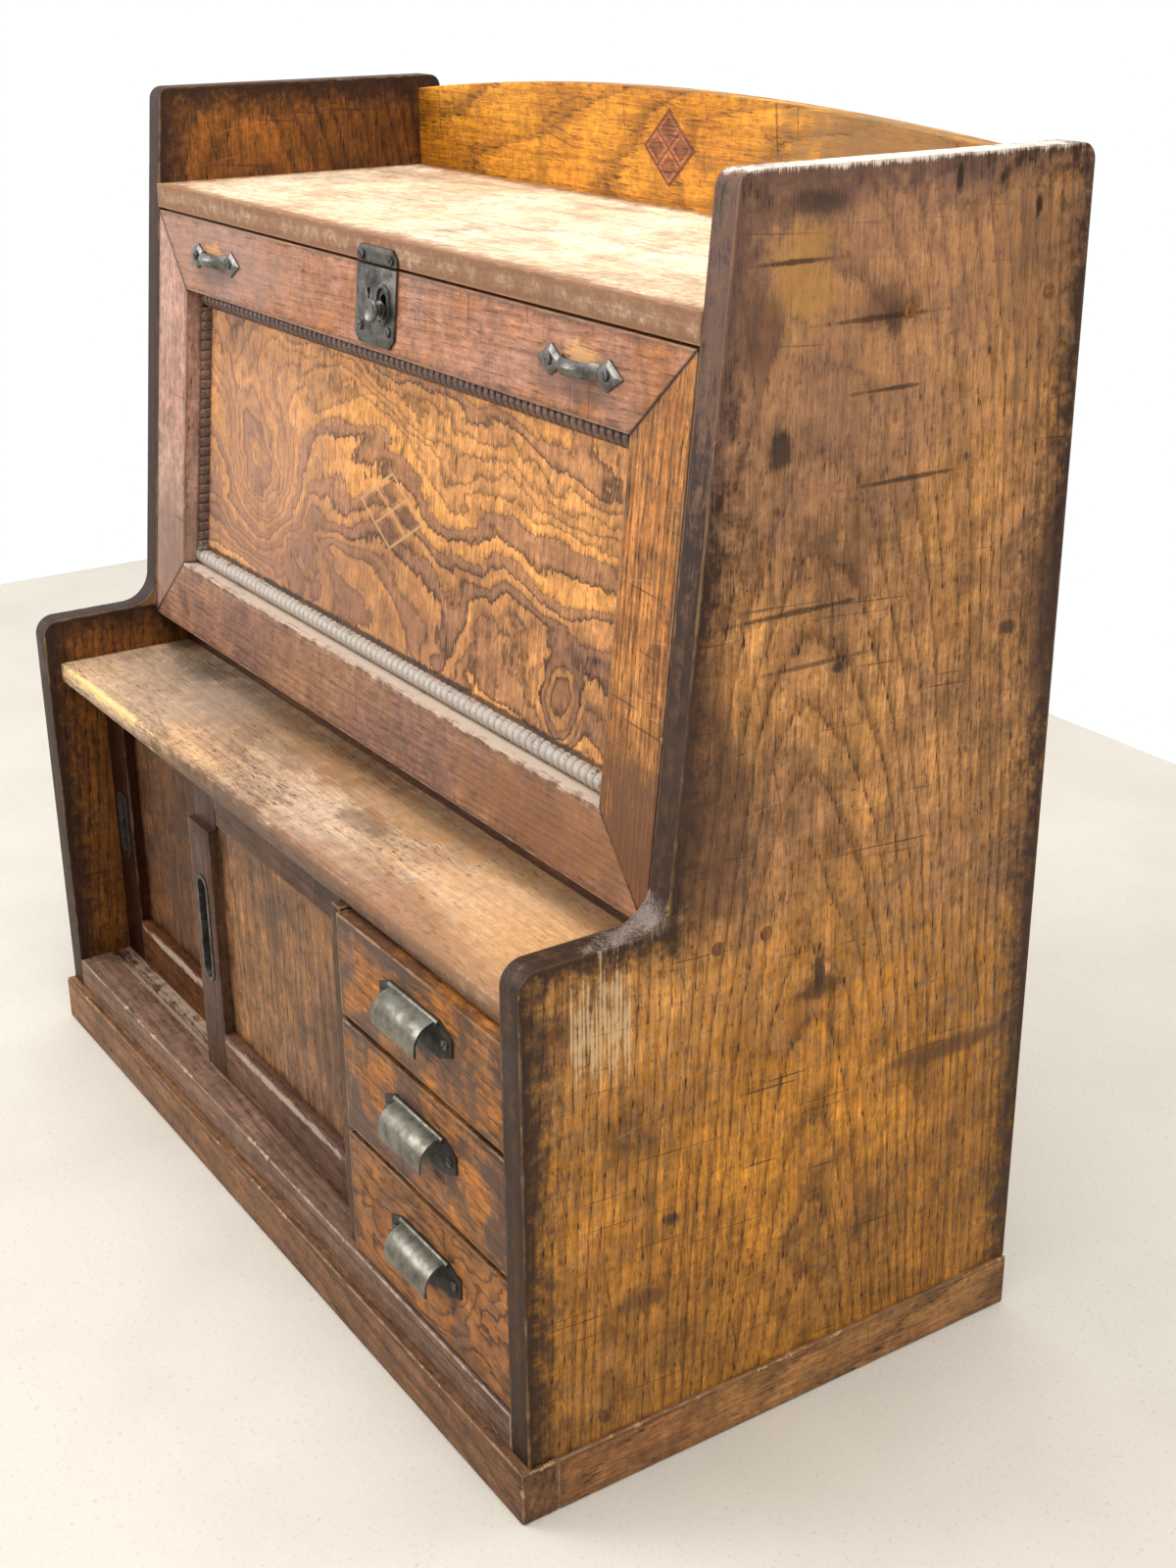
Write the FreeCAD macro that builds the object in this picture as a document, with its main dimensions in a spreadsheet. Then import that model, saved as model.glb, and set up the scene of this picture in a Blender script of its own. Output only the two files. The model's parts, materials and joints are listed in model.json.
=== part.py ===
import FreeCAD, Part
import math
import os
import re
import Sketcher

# Drop-front cabinet: a stepped case with a hinged flap above, two sliding doors and three drawers below.
# Frame: X to the right, Y to the rear, Z up, origin on the floor under the middle of the object.

# Driving dimensions, in millimetres and degrees
driving_sizes = {
    # sides and plinth
    "cabinet_width": 600,
    "side_depth": 307,
    "side_height": 616.5,
    "side_thickness": 16,
    "cheek_height": 293.5,
    "cheek_depth": 78,
    "front_lean": 5.75,
    "cheek_corner_radius": 12,
    "cheek_hollow_radius": 20,
    "top_corner_radius": 8,
    "plinth_height": 30,
    "plinth_thickness": 20,
    "plinth_front_proud": 5.5,
    "plinth_side_proud": 2.5,
    # boards between the sides
    "shelf_height": 265,
    "shelf_thickness": 12.5,
    "shelf_setback": 8.5,
    "top_drop": 56,
    "top_thickness": 14,
    "gallery_end_height": 48,
    "gallery_rise": 14.5,
    "gallery_thickness": 12,
    "inlay_half_width": 24,
    "inlay_half_height": 21,
    "inlay_thickness": 2,
    "back_thickness": 6,
    "back_inset": 5,
    "hinge_rail_depth": 45,
    "desk_floor_thickness": 10,
    "sill_height": 20,
    "bottom_thickness": 10,
    "partition_thickness": 9,
    "partition_setback": 4,
    "drawer_bay_width": 163,
    # wooden pegs in the sides
    "peg_radius": 3.5,
    "peg_length": 8,
    "peg_proud": 0.3,
    "peg_end_margin": 17,
    # sliding doors and their guides
    "door_setback": 17.5,
    "door_thickness": 15,
    "door_spacing": 3,
    "door_overlap": 42,
    "door_end_gap": 0.7,
    "door_stile_width": 29,
    "door_bottom_rail_height": 32,
    "door_top_rail_height": 20,
    "door_panel_thickness": 5,
    "door_panel_depth": 7,
    "door_panel_tongue": 6,
    "door_shoulder": 5.25,
    "door_foot_tongue": 3.5,
    "door_head_tongue": 8,
    "door_lift": 2,
    "right_door_neck": 35,
    "left_door_neck": 15,
    "groove_depth": 4,
    "groove_clearance": 0.5,
    "running_gap": 0.3,
    "rear_strip_width": 12,
    "head_strip_height": 13,
    "head_lip_height": 25.5,
    "head_lip_length": 176,
    # sunk finger pulls of the doors
    "door_pull_width": 13,
    "right_pull_length": 68,
    "left_pull_length": 46,
    "door_pull_depth": 8,
    "door_pull_wall": 1.2,
    "door_pull_rim": 1.3,
    "door_pull_proud": 0.8,
    "door_pull_height": 149,
    # drawers
    "drawer_setback": 2,
    "drawer_front_thickness": 16,
    "lower_drawer_height": 72,
    "middle_drawer_height": 63,
    "drawer_gap": 4,
    "drawer_edge_gap": 1.75,
    "drawer_side_gap": 0.8,
    "drawer_box_length": 245,
    "drawer_box_lift": 7,
    "drawer_box_drop": 6,
    "drawer_board": 8,
    "drawer_bottom_thickness": 5,
    "runner_width": 12,
    "runner_height": 6,
    "drawer_rail_depth": 32,
    # cup pulls of the drawers
    "pull_projection": 12.4,
    "pull_plate_thickness": 1,
    "pull_plate_half_width": 35,
    "pull_plate_half_height": 10,
    "pull_ear": 11,
    "pull_sheet": 1.2,
    "pull_hood_half_width": 21,
    "pull_lip_height": 4,
    "pull_bead_half_width": 24,
    "pull_bead_radius": 1.5,
    "pull_offset": 5.2,
    # drop front
    "flap_thickness": 20,
    "flap_rest_gap": 1,
    "flap_top_gap": 1.5,
    "flap_side_gap": 1.2,
    "flap_frame_width": 43,
    "flap_panel_recess": 13,
    "flap_panel_thickness": 6,
    "flap_panel_tongue": 6,
    "rope_radius": 5,
    "stop_width": 12,
    "stop_end_margin": 40,
    # butt hinges of the drop front
    "hinge_length": 50,
    "hinge_end_distance": 70,
    "hinge_leaf_width": 27,
    "hinge_leaf_start": 2,
    "hinge_leaf_thickness": 1.5,
    "knuckle_radius": 3,
    "knuckle_middle": 18,
    "knuckle_gap": 0.3,
    "knuckle_room": 0.5,
    "pin_radius": 1.5,
    "pin_clearance": 0.3,
    "hinge_rail_gap": 0.5,
    # arched handles
    "handle_end_distance": 85.3,
    "handle_drop": 20.8,
    "handle_foot_distance": 23.3,
    "handle_foot_half_width": 11.7,
    "handle_foot_half_height": 7.4,
    "handle_foot_thickness": 2,
    "handle_half_span": 17,
    "handle_projection": 9.5,
    "handle_bar_thickness": 2.8,
    "handle_bar_height": 8,
    # latch, strike and screws
    "latch_offset": 6.4,
    "latch_half_width": 21.2,
    "latch_height": 40,
    "latch_corner": 5,
    "latch_plate_thickness": 1.5,
    "strike_height": 8.5,
    "strike_corner": 4,
    "knob_offset": 8.6,
    "knob_drop": 20.9,
    "knob_travel": 5,
    "knob_radius": 6.2,
    "knob_head_thickness": 3,
    "knob_neck": 3,
    "stem_radius": 2.5,
    "collar_radius": 5,
    "collar_thickness": 1,
    "boss_half_width": 7,
    "boss_half_height": 10.5,
    "boss_wall": 1.8,
    "boss_height": 1.2,
    "bolt_half_width": 6,
    "bolt_thickness": 4,
    "bolt_height": 30,
    "bolt_depth": 8,
    "bolt_top_gap": 0.8,
    "mortise_clearance": 0.6,
    "mortise_depth": 8,
    "keyhole_offset": 7.4,
    "keyhole_drop": 13,
    "keyhole_radius": 1.8,
    "keyhole_length": 4,
    "screw_head_radius": 2.6,
    "screw_head_height": 1,
    "screw_shank_radius": 1.2,
    "screw_hole_clearance": 0.1,
    "screw_length": 9,
    "latch_screw_inset": 6,
    "strike_screw_inset": 5.5,
    "strike_screw_height": 3.2,
}

# Places that follow from the driving dimensions
derived_sizes = {
    "half_width": "cabinet_width / 2",
    "inner_half": "half_width - side_thickness",
    "top_height": "side_height - top_drop",
    "pull_reach": "pull_projection + pull_plate_thickness - drawer_setback",
    "front": "(pull_reach - side_depth) / 2",
    "rear": "front + side_depth",
    "back_rear": "rear - back_inset",
    "back_front": "back_rear - back_thickness",
    "gallery_front": "back_rear - gallery_thickness",
    "shelf_under": "shelf_height - shelf_thickness",
    "top_under": "top_height - top_thickness",
    "top_front": "front + cheek_depth + (top_under - cheek_height) * tan(front_lean)",
    "side_top_front": "front + cheek_depth + (side_height - cheek_height) * tan(front_lean)",
    "sill_top": "plinth_height + sill_height",
    "cupboard_floor": "sill_top - groove_depth",
    "gallery_radius": "(inner_half ^ 2 + gallery_rise ^ 2) / (2 * gallery_rise)",
    "gallery_top": "top_height + gallery_end_height + gallery_rise",
    "inlay_middle": "top_height + (gallery_end_height + gallery_rise) / 2",
    "partition_right": "inner_half - drawer_bay_width",
    "partition_left": "partition_right - partition_thickness",
    "door_bay_width": "partition_left + inner_half",
    "door_width": "(door_bay_width + door_overlap) / 2 - door_end_gap",
    "right_door_front": "front + door_setback",
    "left_door_front": "right_door_front + door_thickness + door_spacing",
    "right_groove_front": "right_door_front + door_shoulder - groove_clearance",
    "right_groove_rear": "right_door_front + door_shoulder + door_foot_tongue + groove_clearance",
    "left_groove_front": "left_door_front + door_shoulder - groove_clearance",
    "left_groove_rear": "left_door_front + door_shoulder + door_foot_tongue + groove_clearance",
    "head_strip_front": "right_door_front + door_shoulder + door_head_tongue + groove_clearance",
    "head_strip_rear": "left_door_front + door_shoulder + door_head_tongue + groove_clearance",
    "drawer_face": "front + drawer_setback",
    "drawer_inside": "drawer_face + drawer_front_thickness",
    "drawer_middle": "partition_right + drawer_bay_width / 2",
    "lower_drawer_foot": "sill_top + drawer_edge_gap",
    "lower_drawer_head": "lower_drawer_foot + lower_drawer_height",
    "middle_drawer_foot": "lower_drawer_head + drawer_gap",
    "middle_drawer_head": "middle_drawer_foot + middle_drawer_height",
    "upper_drawer_foot": "middle_drawer_head + drawer_gap",
    "upper_drawer_head": "shelf_under - drawer_edge_gap",
    "hinge_height": "shelf_height + flap_thickness + flap_rest_gap",
    "hinge_place": "front + cheek_depth + (hinge_height - cheek_height) * tan(front_lean)"
                   " + flap_thickness / cos(front_lean)",
    "hinge_rail_front": "hinge_place + hinge_rail_gap",
    "desk_front": "hinge_rail_front + hinge_rail_depth",
    "flap_half": "inner_half - flap_side_gap",
    "flap_length": "sqrt((top_under - hinge_height - flap_top_gap) ^ 2 - flap_thickness ^ 2)",
    "sight_half": "flap_half - flap_frame_width",
    "sight_foot": "flap_frame_width",
    "sight_head": "flap_length - flap_frame_width",
    "flap_panel_face": "flap_panel_recess - flap_thickness",
    "flap_panel_rear": "flap_panel_face + flap_panel_thickness",
    "hinge_middle": "flap_half - hinge_end_distance",
    "bore_radius": "pin_radius + pin_clearance",
    "handle_offset": "flap_half - handle_end_distance",
    "handle_height": "flap_length - handle_drop",
    "handle_face": "-flap_thickness - handle_foot_thickness",
    "handle_crown": "-flap_thickness - handle_projection",
    "handle_radius": "(handle_half_span ^ 2 + handle_projection ^ 2) / (2 * handle_projection)",
    "latch_face": "-flap_thickness - latch_plate_thickness",
    "latch_foot": "flap_length - latch_height",
    "latch_left": "latch_offset - latch_half_width",
    "latch_right": "latch_offset + latch_half_width",
    "keyhole_place": "latch_offset - keyhole_offset",
    "knob_place": "latch_offset + knob_offset",
    "knob_height": "flap_length - knob_drop",
    "boss_middle": "knob_height + knob_travel / 2",
    "collar_rear": "latch_face - boss_height - running_gap",
    "collar_face": "collar_rear - collar_thickness",
    "head_rear": "collar_face - knob_neck",
    "bolt_front": "-flap_thickness + bolt_depth",
    "strike_foot": "top_under",
    "strike_face": "top_front - latch_plate_thickness",
    "screw_hole_radius": "screw_shank_radius + screw_hole_clearance",
}

document = FreeCAD.newDocument("drop_front_cabinet")
sheet = document.addObject("Spreadsheet::Sheet", "sizes")
for row, (alias, value) in enumerate(driving_sizes.items(), start=1):
    sheet.set(f"A{row}", alias)
    sheet.set(f"B{row}", str(value))
    sheet.setAlias(f"B{row}", alias)
document.recompute()

pieces = []


# Helpers: formulas, placing, and the solids that the pieces are made of

def sheet_formula(text):
    """Write a formula of size names as one that reads the sheet."""
    def spell(match):
        word = match.group(0)
        if word in derived_sizes:
            return "(" + sheet_formula(derived_sizes[word]) + ")"
        if word in driving_sizes:
            return "sizes." + word
        return word
    return re.sub(r"[a-z_]+", spell, text)


def bind(item, setting, text):
    item.setExpression(setting, sheet_formula(text))


def seat(item, x="0", y="0", z="0"):
    """Place an item by three formulas."""
    for axis, text in zip("xyz", (x, y, z)):
        bind(item, f"Placement.Base.{axis}", text)
    return item


def seat_on_flap(item):
    """Carry an item from the flap's own frame (hinge axis at the origin, inner face at Y 0) to its place."""
    item.Placement = FreeCAD.Placement(FreeCAD.Vector(), FreeCAD.Rotation(FreeCAD.Vector(1, 0, 0), 1))
    bind(item, "Placement.Rotation.Angle", "-front_lean")
    return seat(item, y="hinge_place", z="hinge_height")


def piece(item, label):
    """Name an item as a finished sub-part."""
    item.Label = label
    pieces.append(item)
    return item


def box(name, x, y, z):
    """A box between two formulas on each axis."""
    item = document.addObject("Part::Box", name)
    for setting, (low, high) in zip(("Length", "Width", "Height"), (x, y, z)):
        bind(item, setting, f"({high}) - ({low})")
    return seat(item, x[0], y[0], z[0])


def rod(name, axis, span, centre, radius):
    """A round bar along X, Y or Z; centre holds the other two coordinates in order."""
    turns = {"x": ((0, 1, 0), 90), "y": ((1, 0, 0), -90), "z": ((0, 0, 1), 0)}
    item = document.addObject("Part::Cylinder", name)
    direction, angle = turns[axis]
    item.Placement = FreeCAD.Placement(
        FreeCAD.Vector(), FreeCAD.Rotation(FreeCAD.Vector(*direction), angle))
    bind(item, "Radius", radius)
    bind(item, "Height", f"({span[1]}) - ({span[0]})")
    place = dict(zip([letter for letter in "xyz" if letter != axis], centre))
    place[axis] = span[0]
    return seat(item, **place)


def cut(name, base, *tools):
    item = document.addObject("Part::Cut", name)
    item.Base = base
    item.Tool = tools[0] if len(tools) == 1 else group(name + "_tools", *tools)
    return item


def common(name, first, second):
    item = document.addObject("Part::Common", name)
    item.Base = first
    item.Tool = second
    return item


def join(name, *parts):
    item = document.addObject("Part::MultiFuse", name)
    item.Shapes = list(parts)
    return item


def group(name, *parts):
    item = document.addObject("Part::Compound", name)
    item.Links = list(parts)
    return item


def slab(name, plane, points, span):
    """A body padded from a straight-sided outline; span holds its two ends along the plane's normal."""
    body = document.addObject("PartDesign::Body", name)
    sketch = body.newObject("Sketcher::SketchObject", name + "_outline")
    support = next(item for item in body.Origin.OriginFeatures if item.Role == plane + "_Plane")
    sketch.AttachmentSupport = [(support, "")]
    sketch.MapMode = "FlatFace"
    low, high = span
    bind(sketch, "AttachmentOffset.Base.z", f"-({high})" if plane == "XZ" else low)
    count = len(points)
    # The corners start on a small circle, and the bound distances then carry each to its place
    turn = 2 * math.pi / count
    start = [FreeCAD.Vector(math.cos(turn * i), math.sin(turn * i), 0) for i in range(count)]
    for i in range(count):
        sketch.addGeometry(Part.LineSegment(start[i], start[(i + 1) % count]))
    for i in range(count):
        sketch.addConstraint(Sketcher.Constraint("Coincident", i, 2, (i + 1) % count, 1))
    for i, (across, along) in enumerate(points):
        for kind, text, value in (("DistanceX", across, start[i].x), ("DistanceY", along, start[i].y)):
            index = sketch.addConstraint(Sketcher.Constraint(kind, -1, 1, i, 1, value))
            bind(sketch, f"Constraints[{index}]", text)
    pad = body.newObject("PartDesign::Pad", name + "_pad")
    pad.Profile = sketch
    bind(pad, "Length", f"({high}) - ({low})")
    return body


def round_corners(body, corners):
    """Round outline corners of a slab on the YZ plane; corners maps a corner's number to its radius."""
    for number, radius in corners.items():
        document.recompute()
        sketch = next(item for item in body.Group if item.TypeId == "Sketcher::SketchObject")
        corner = sketch.Geometry[number].StartPoint
        base = body.Tip
        names = []
        for index, edge in enumerate(base.Shape.Edges, start=1):
            ends = [vertex.Point for vertex in edge.Vertexes]
            if all(abs(end.y - corner.x) + abs(end.z - corner.y) < 0.001 for end in ends):
                names.append(f"Edge{index}")
        fillet = body.newObject("PartDesign::Fillet", f"{body.Name}_round_{number}")
        fillet.Base = (base, names)
        bind(fillet, "Radius", radius)
    return body


def slot(name, x, y, z, half):
    """A round-ended upright slot about the middle x, with its round axes along Y."""
    low, high = z
    return join(
        name,
        box(name + "_middle", (f"{x} - {half}", f"{x} + {half}"), y, (f"{low} + {half}", f"{high} - {half}")),
        rod(name + "_foot", "y", y, (x, f"{low} + {half}"), half),
        rod(name + "_head", "y", y, (x, f"{high} - {half}"), half))


def screw(name, x, face, z):
    """A round-headed screw whose head lies on a face that looks forward."""
    head = rod(name + "_head", "y", (f"{face} - screw_head_height", face), (x, z), "screw_head_radius")
    shank = rod(name + "_shank", "y", (face, f"{face} + screw_length"), (x, z), "screw_shank_radius")
    return join(name, head, shank)


def screw_hole(name, x, face, z):
    return rod(name, "y", (face, f"{face} + screw_length + running_gap"), (x, z), "screw_hole_radius")


# Side panels: one stepped outline, with the wooden pegs that pin the boards between them
side_outline = [
    ("front", "plinth_height"),
    ("rear", "plinth_height"),
    ("rear", "side_height"),
    ("side_top_front", "side_height"),
    ("front + cheek_depth", "cheek_height"),
    ("front", "cheek_height"),
]
side_rounding = {
    2: "top_corner_radius",
    3: "top_corner_radius",
    4: "cheek_hollow_radius",
    5: "cheek_corner_radius",
}
peg_places = [
    ("(top_front + back_rear) / 2", "top_height - top_thickness / 2"),
    ("back_rear - peg_end_margin", "top_height - top_thickness / 2"),
    ("hinge_rail_front + peg_end_margin / 2", "hinge_height - flap_thickness / 2"),
    ("desk_front - peg_end_margin / 2", "hinge_height - flap_thickness / 2"),
    ("front + shelf_setback + peg_end_margin / 2", "shelf_height - shelf_thickness / 2"),
    ("right_groove_rear + peg_end_margin", "cupboard_floor - bottom_thickness / 2"),
]
peg_solids = []
for hand, low, high in (("left", "-half_width", "-inner_half"), ("right", "inner_half", "half_width")):
    blank = round_corners(slab(f"{hand}_side_blank", "YZ", side_outline, (low, high)), side_rounding)
    if hand == "left":
        hole_span = (low, f"{low} + peg_length")
        peg_span = (f"{low} - peg_proud", f"{low} + peg_length")
    else:
        hole_span = (f"{high} - peg_length", high)
        peg_span = (f"{high} - peg_length", f"{high} + peg_proud")
    holes = []
    for number, place in enumerate(peg_places):
        holes.append(rod(f"{hand}_peg_hole_{number}", "x", hole_span, place, "peg_radius"))
        peg_solids.append(rod(f"{hand}_peg_{number}", "x", peg_span, place, "peg_radius"))
    piece(cut(f"{hand}_side_cut", blank, *holes), f"{hand}_side")
piece(group("pegs", *peg_solids), "side_pegs")

# Plinth: a front board with the two side boards behind it
plinth_half = "half_width + plinth_side_proud"
plinth_front = "front - plinth_front_proud"
plinth_back = "front - plinth_front_proud + plinth_thickness"
plinth_rise = ("0", "plinth_height")
piece(box("plinth_a", (f"-({plinth_half})", plinth_half), (plinth_front, plinth_back), plinth_rise),
      "plinth_front")
piece(box("plinth_b", (f"-({plinth_half})", f"plinth_thickness - ({plinth_half})"), (plinth_back, "rear"),
          plinth_rise), "plinth_left")
piece(box("plinth_c", (f"{plinth_half} - plinth_thickness", plinth_half), (plinth_back, "rear"),
          plinth_rise), "plinth_right")

# Boards between the sides
between_sides = ("-inner_half", "inner_half")
piece(box("sill_board", between_sides, ("front", "right_groove_front"),
          ("plinth_height", "sill_top")), "sill")
piece(box("floor_board", between_sides, ("right_groove_front", "back_front"),
          ("cupboard_floor - bottom_thickness", "cupboard_floor")), "bottom_board")
piece(box("shelf_board", between_sides, ("front + shelf_setback", "back_front"),
          ("shelf_under", "shelf_height")), "step_shelf")
piece(box("desk_board", between_sides, ("desk_front", "back_front"),
          ("hinge_height - desk_floor_thickness", "hinge_height")), "desk_floor")
piece(box("lower_back_board", between_sides, ("back_front", "back_rear"),
          ("cupboard_floor - bottom_thickness", "shelf_height")), "lower_back")
piece(box("upper_back_board", between_sides, ("back_front", "back_rear"), ("shelf_height", "top_under")),
      "upper_back")

# Top board, with the mortise that takes the latch bolt
mortise_x = ("knob_place - bolt_half_width - mortise_clearance",
             "knob_place + bolt_half_width + mortise_clearance")
mortise_y = ("bolt_front - mortise_clearance", "bolt_front + bolt_thickness + mortise_clearance")
mortise_room = box("mortise_room", mortise_x, mortise_y, ("flap_length", "flap_length + mortise_depth"))
top_mortise = seat_on_flap(group("top_mortise", mortise_room))
strike_screw_places = [("latch_left + strike_screw_inset", "strike_foot + strike_screw_height"),
                       ("latch_right - strike_screw_inset", "strike_foot + strike_screw_height")]
strike_holes = [screw_hole(f"strike_hole_{i}", x, "strike_face", z)
                for i, (x, z) in enumerate(strike_screw_places)]
top_blank = box("top_blank", between_sides, ("top_front", "gallery_front"), ("top_under", "top_height"))
piece(cut("top_cut", top_blank, top_mortise, *strike_holes), "top_board")

# Gallery: a board with an arched top behind the top board, and a diamond let into its face
gallery_blank = box("gallery_blank", between_sides, ("gallery_front", "back_rear"),
                    ("top_under", "gallery_top + gallery_rise"))
gallery_arch = rod("gallery_arch", "y", ("gallery_front", "back_rear"), ("0", "gallery_top - gallery_radius"),
                   "gallery_radius")
inlay_outline = [("-inlay_half_width", "inlay_middle"), ("0", "inlay_middle - inlay_half_height"),
                 ("inlay_half_width", "inlay_middle"), ("0", "inlay_middle + inlay_half_height")]
inlay_span = ("gallery_front", "gallery_front + inlay_thickness")
inlay = slab("inlay_diamond", "XZ", inlay_outline, inlay_span)
piece(cut("gallery_cut", common("gallery_arched", gallery_blank, gallery_arch), inlay), "gallery_back")
piece(group("inlay_group", inlay), "gallery_inlay")

# Upright partition beside the drawers, notched over the sill
partition_blank = box("partition_blank", ("partition_left", "partition_right"),
                      ("front + partition_setback", "back_front"), ("cupboard_floor", "shelf_under"))
sill_notch = box("sill_notch", ("partition_left", "partition_right"),
                 ("front + partition_setback", "right_groove_front"), ("cupboard_floor", "sill_top"))
piece(cut("partition_cut", partition_blank, sill_notch), "drawer_partition")

# Guides of the sliding doors: strips on the cupboard floor, strips under the shelf, and the head lip
guide_span = ("-inner_half", "partition_left")
foot_rise = ("cupboard_floor", "sill_top")
head_rise = ("shelf_under - head_strip_height", "shelf_under")
guides = [
    box("foot_strip_middle", guide_span, ("right_groove_rear", "left_groove_front"), foot_rise),
    box("foot_strip_rear", guide_span, ("left_groove_rear", "left_groove_rear + rear_strip_width"),
        foot_rise),
    box("head_strip_middle", guide_span, ("head_strip_front", "left_groove_front"), head_rise),
    box("head_strip_rear", guide_span, ("head_strip_rear", "head_strip_rear + rear_strip_width"), head_rise),
]
piece(group("guide_strips", *guides), "door_guides")
piece(box("lip_strip", ("partition_left - head_lip_length", "partition_left"),
          ("right_door_front", "right_groove_front"), ("shelf_under - head_lip_height", "shelf_under")),
      "head_lip")


# Sliding doors: grooved stiles and rails, a panel, and a sunk finger pull on the left stile
def sliding_door(hand, left, face, neck, pull_length):
    right = f"{left} + door_width"
    foot = "sill_top + running_gap"
    shoulder = f"shelf_under - {neck}"
    head = "shelf_under - door_lift"
    rear = f"{face} + door_thickness"
    tongue = f"{face} + door_shoulder"
    foot_tongue = (tongue, f"{tongue} + door_foot_tongue")
    head_tongue = (tongue, f"{tongue} + door_head_tongue")
    tongue_foot = "cupboard_floor + running_gap"
    inner = (f"{left} + door_stile_width", f"{right} - door_stile_width")
    panel_y = (f"{face} + door_panel_depth", f"{face} + door_panel_depth + door_panel_thickness")
    panel_x = (f"{inner[0]} - door_panel_tongue", f"{inner[1]} + door_panel_tongue")
    rail_top = f"{foot} + door_bottom_rail_height"
    rail_foot = "shelf_under - door_lift - door_top_rail_height"
    panel_z = (f"{rail_top} - door_panel_tongue", f"{rail_foot} + door_panel_tongue")

    panel = box(f"{hand}_panel", panel_x, panel_y, panel_z)
    stiles = []
    for side, span in (("a", (left, inner[0])), ("b", (inner[1], right))):
        stiles.append(join(
            f"{hand}_stile_{side}",
            box(f"{hand}_stile_{side}_body", span, (face, rear), (foot, shoulder)),
            box(f"{hand}_stile_{side}_foot", span, foot_tongue, (tongue_foot, foot)),
            box(f"{hand}_stile_{side}_head", span, head_tongue, (shoulder, head))))
    bottom_rail = join(
        f"{hand}_bottom_rail",
        box(f"{hand}_bottom_rail_body", inner, (face, rear), (foot, rail_top)),
        box(f"{hand}_bottom_rail_foot", inner, foot_tongue, (tongue_foot, foot)))
    top_rail = box(f"{hand}_top_rail", inner, head_tongue, (rail_foot, head))

    pull_x = f"{left} + door_stile_width / 2"
    pull_z = (f"door_pull_height - {pull_length} / 2", f"door_pull_height + {pull_length} / 2")
    pull_half = "(door_pull_width / 2)"
    pull_rear = f"{face} + door_pull_depth"
    pull_front = f"{face} - door_pull_proud"
    mortise = slot(f"{hand}_mortise", pull_x, (face, pull_rear), pull_z, pull_half)
    cup = slot(f"{hand}_cup", pull_x, (face, pull_rear), pull_z, pull_half)
    rim = slot(f"{hand}_rim", pull_x, (pull_front, face),
               (f"{pull_z[0]} - door_pull_rim", f"{pull_z[1]} + door_pull_rim"),
               "(door_pull_width / 2 + door_pull_rim)")
    dish = slot(f"{hand}_dish", pull_x, (pull_front, f"{pull_rear} - door_pull_wall"),
                (f"{pull_z[0]} + door_pull_wall", f"{pull_z[1]} - door_pull_wall"),
                "(door_pull_width / 2 - door_pull_wall)")

    rails = group(f"{hand}_rails", bottom_rail, top_rail)
    piece(cut(f"{hand}_stiles_cut", group(f"{hand}_stiles", *stiles), panel, mortise), f"{hand}_door_stiles")
    piece(cut(f"{hand}_rails_cut", rails, panel), f"{hand}_door_rails")
    piece(panel, f"{hand}_door_panel")
    piece(cut(f"{hand}_pull_cut", join(f"{hand}_pull_blank", cup, rim), dish), f"{hand}_door_pull")


sliding_door("right", "partition_left - door_end_gap - door_width", "right_door_front", "right_door_neck",
             "right_pull_length")
sliding_door("left", "door_end_gap - inner_half", "left_door_front", "left_door_neck", "left_pull_length")


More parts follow.
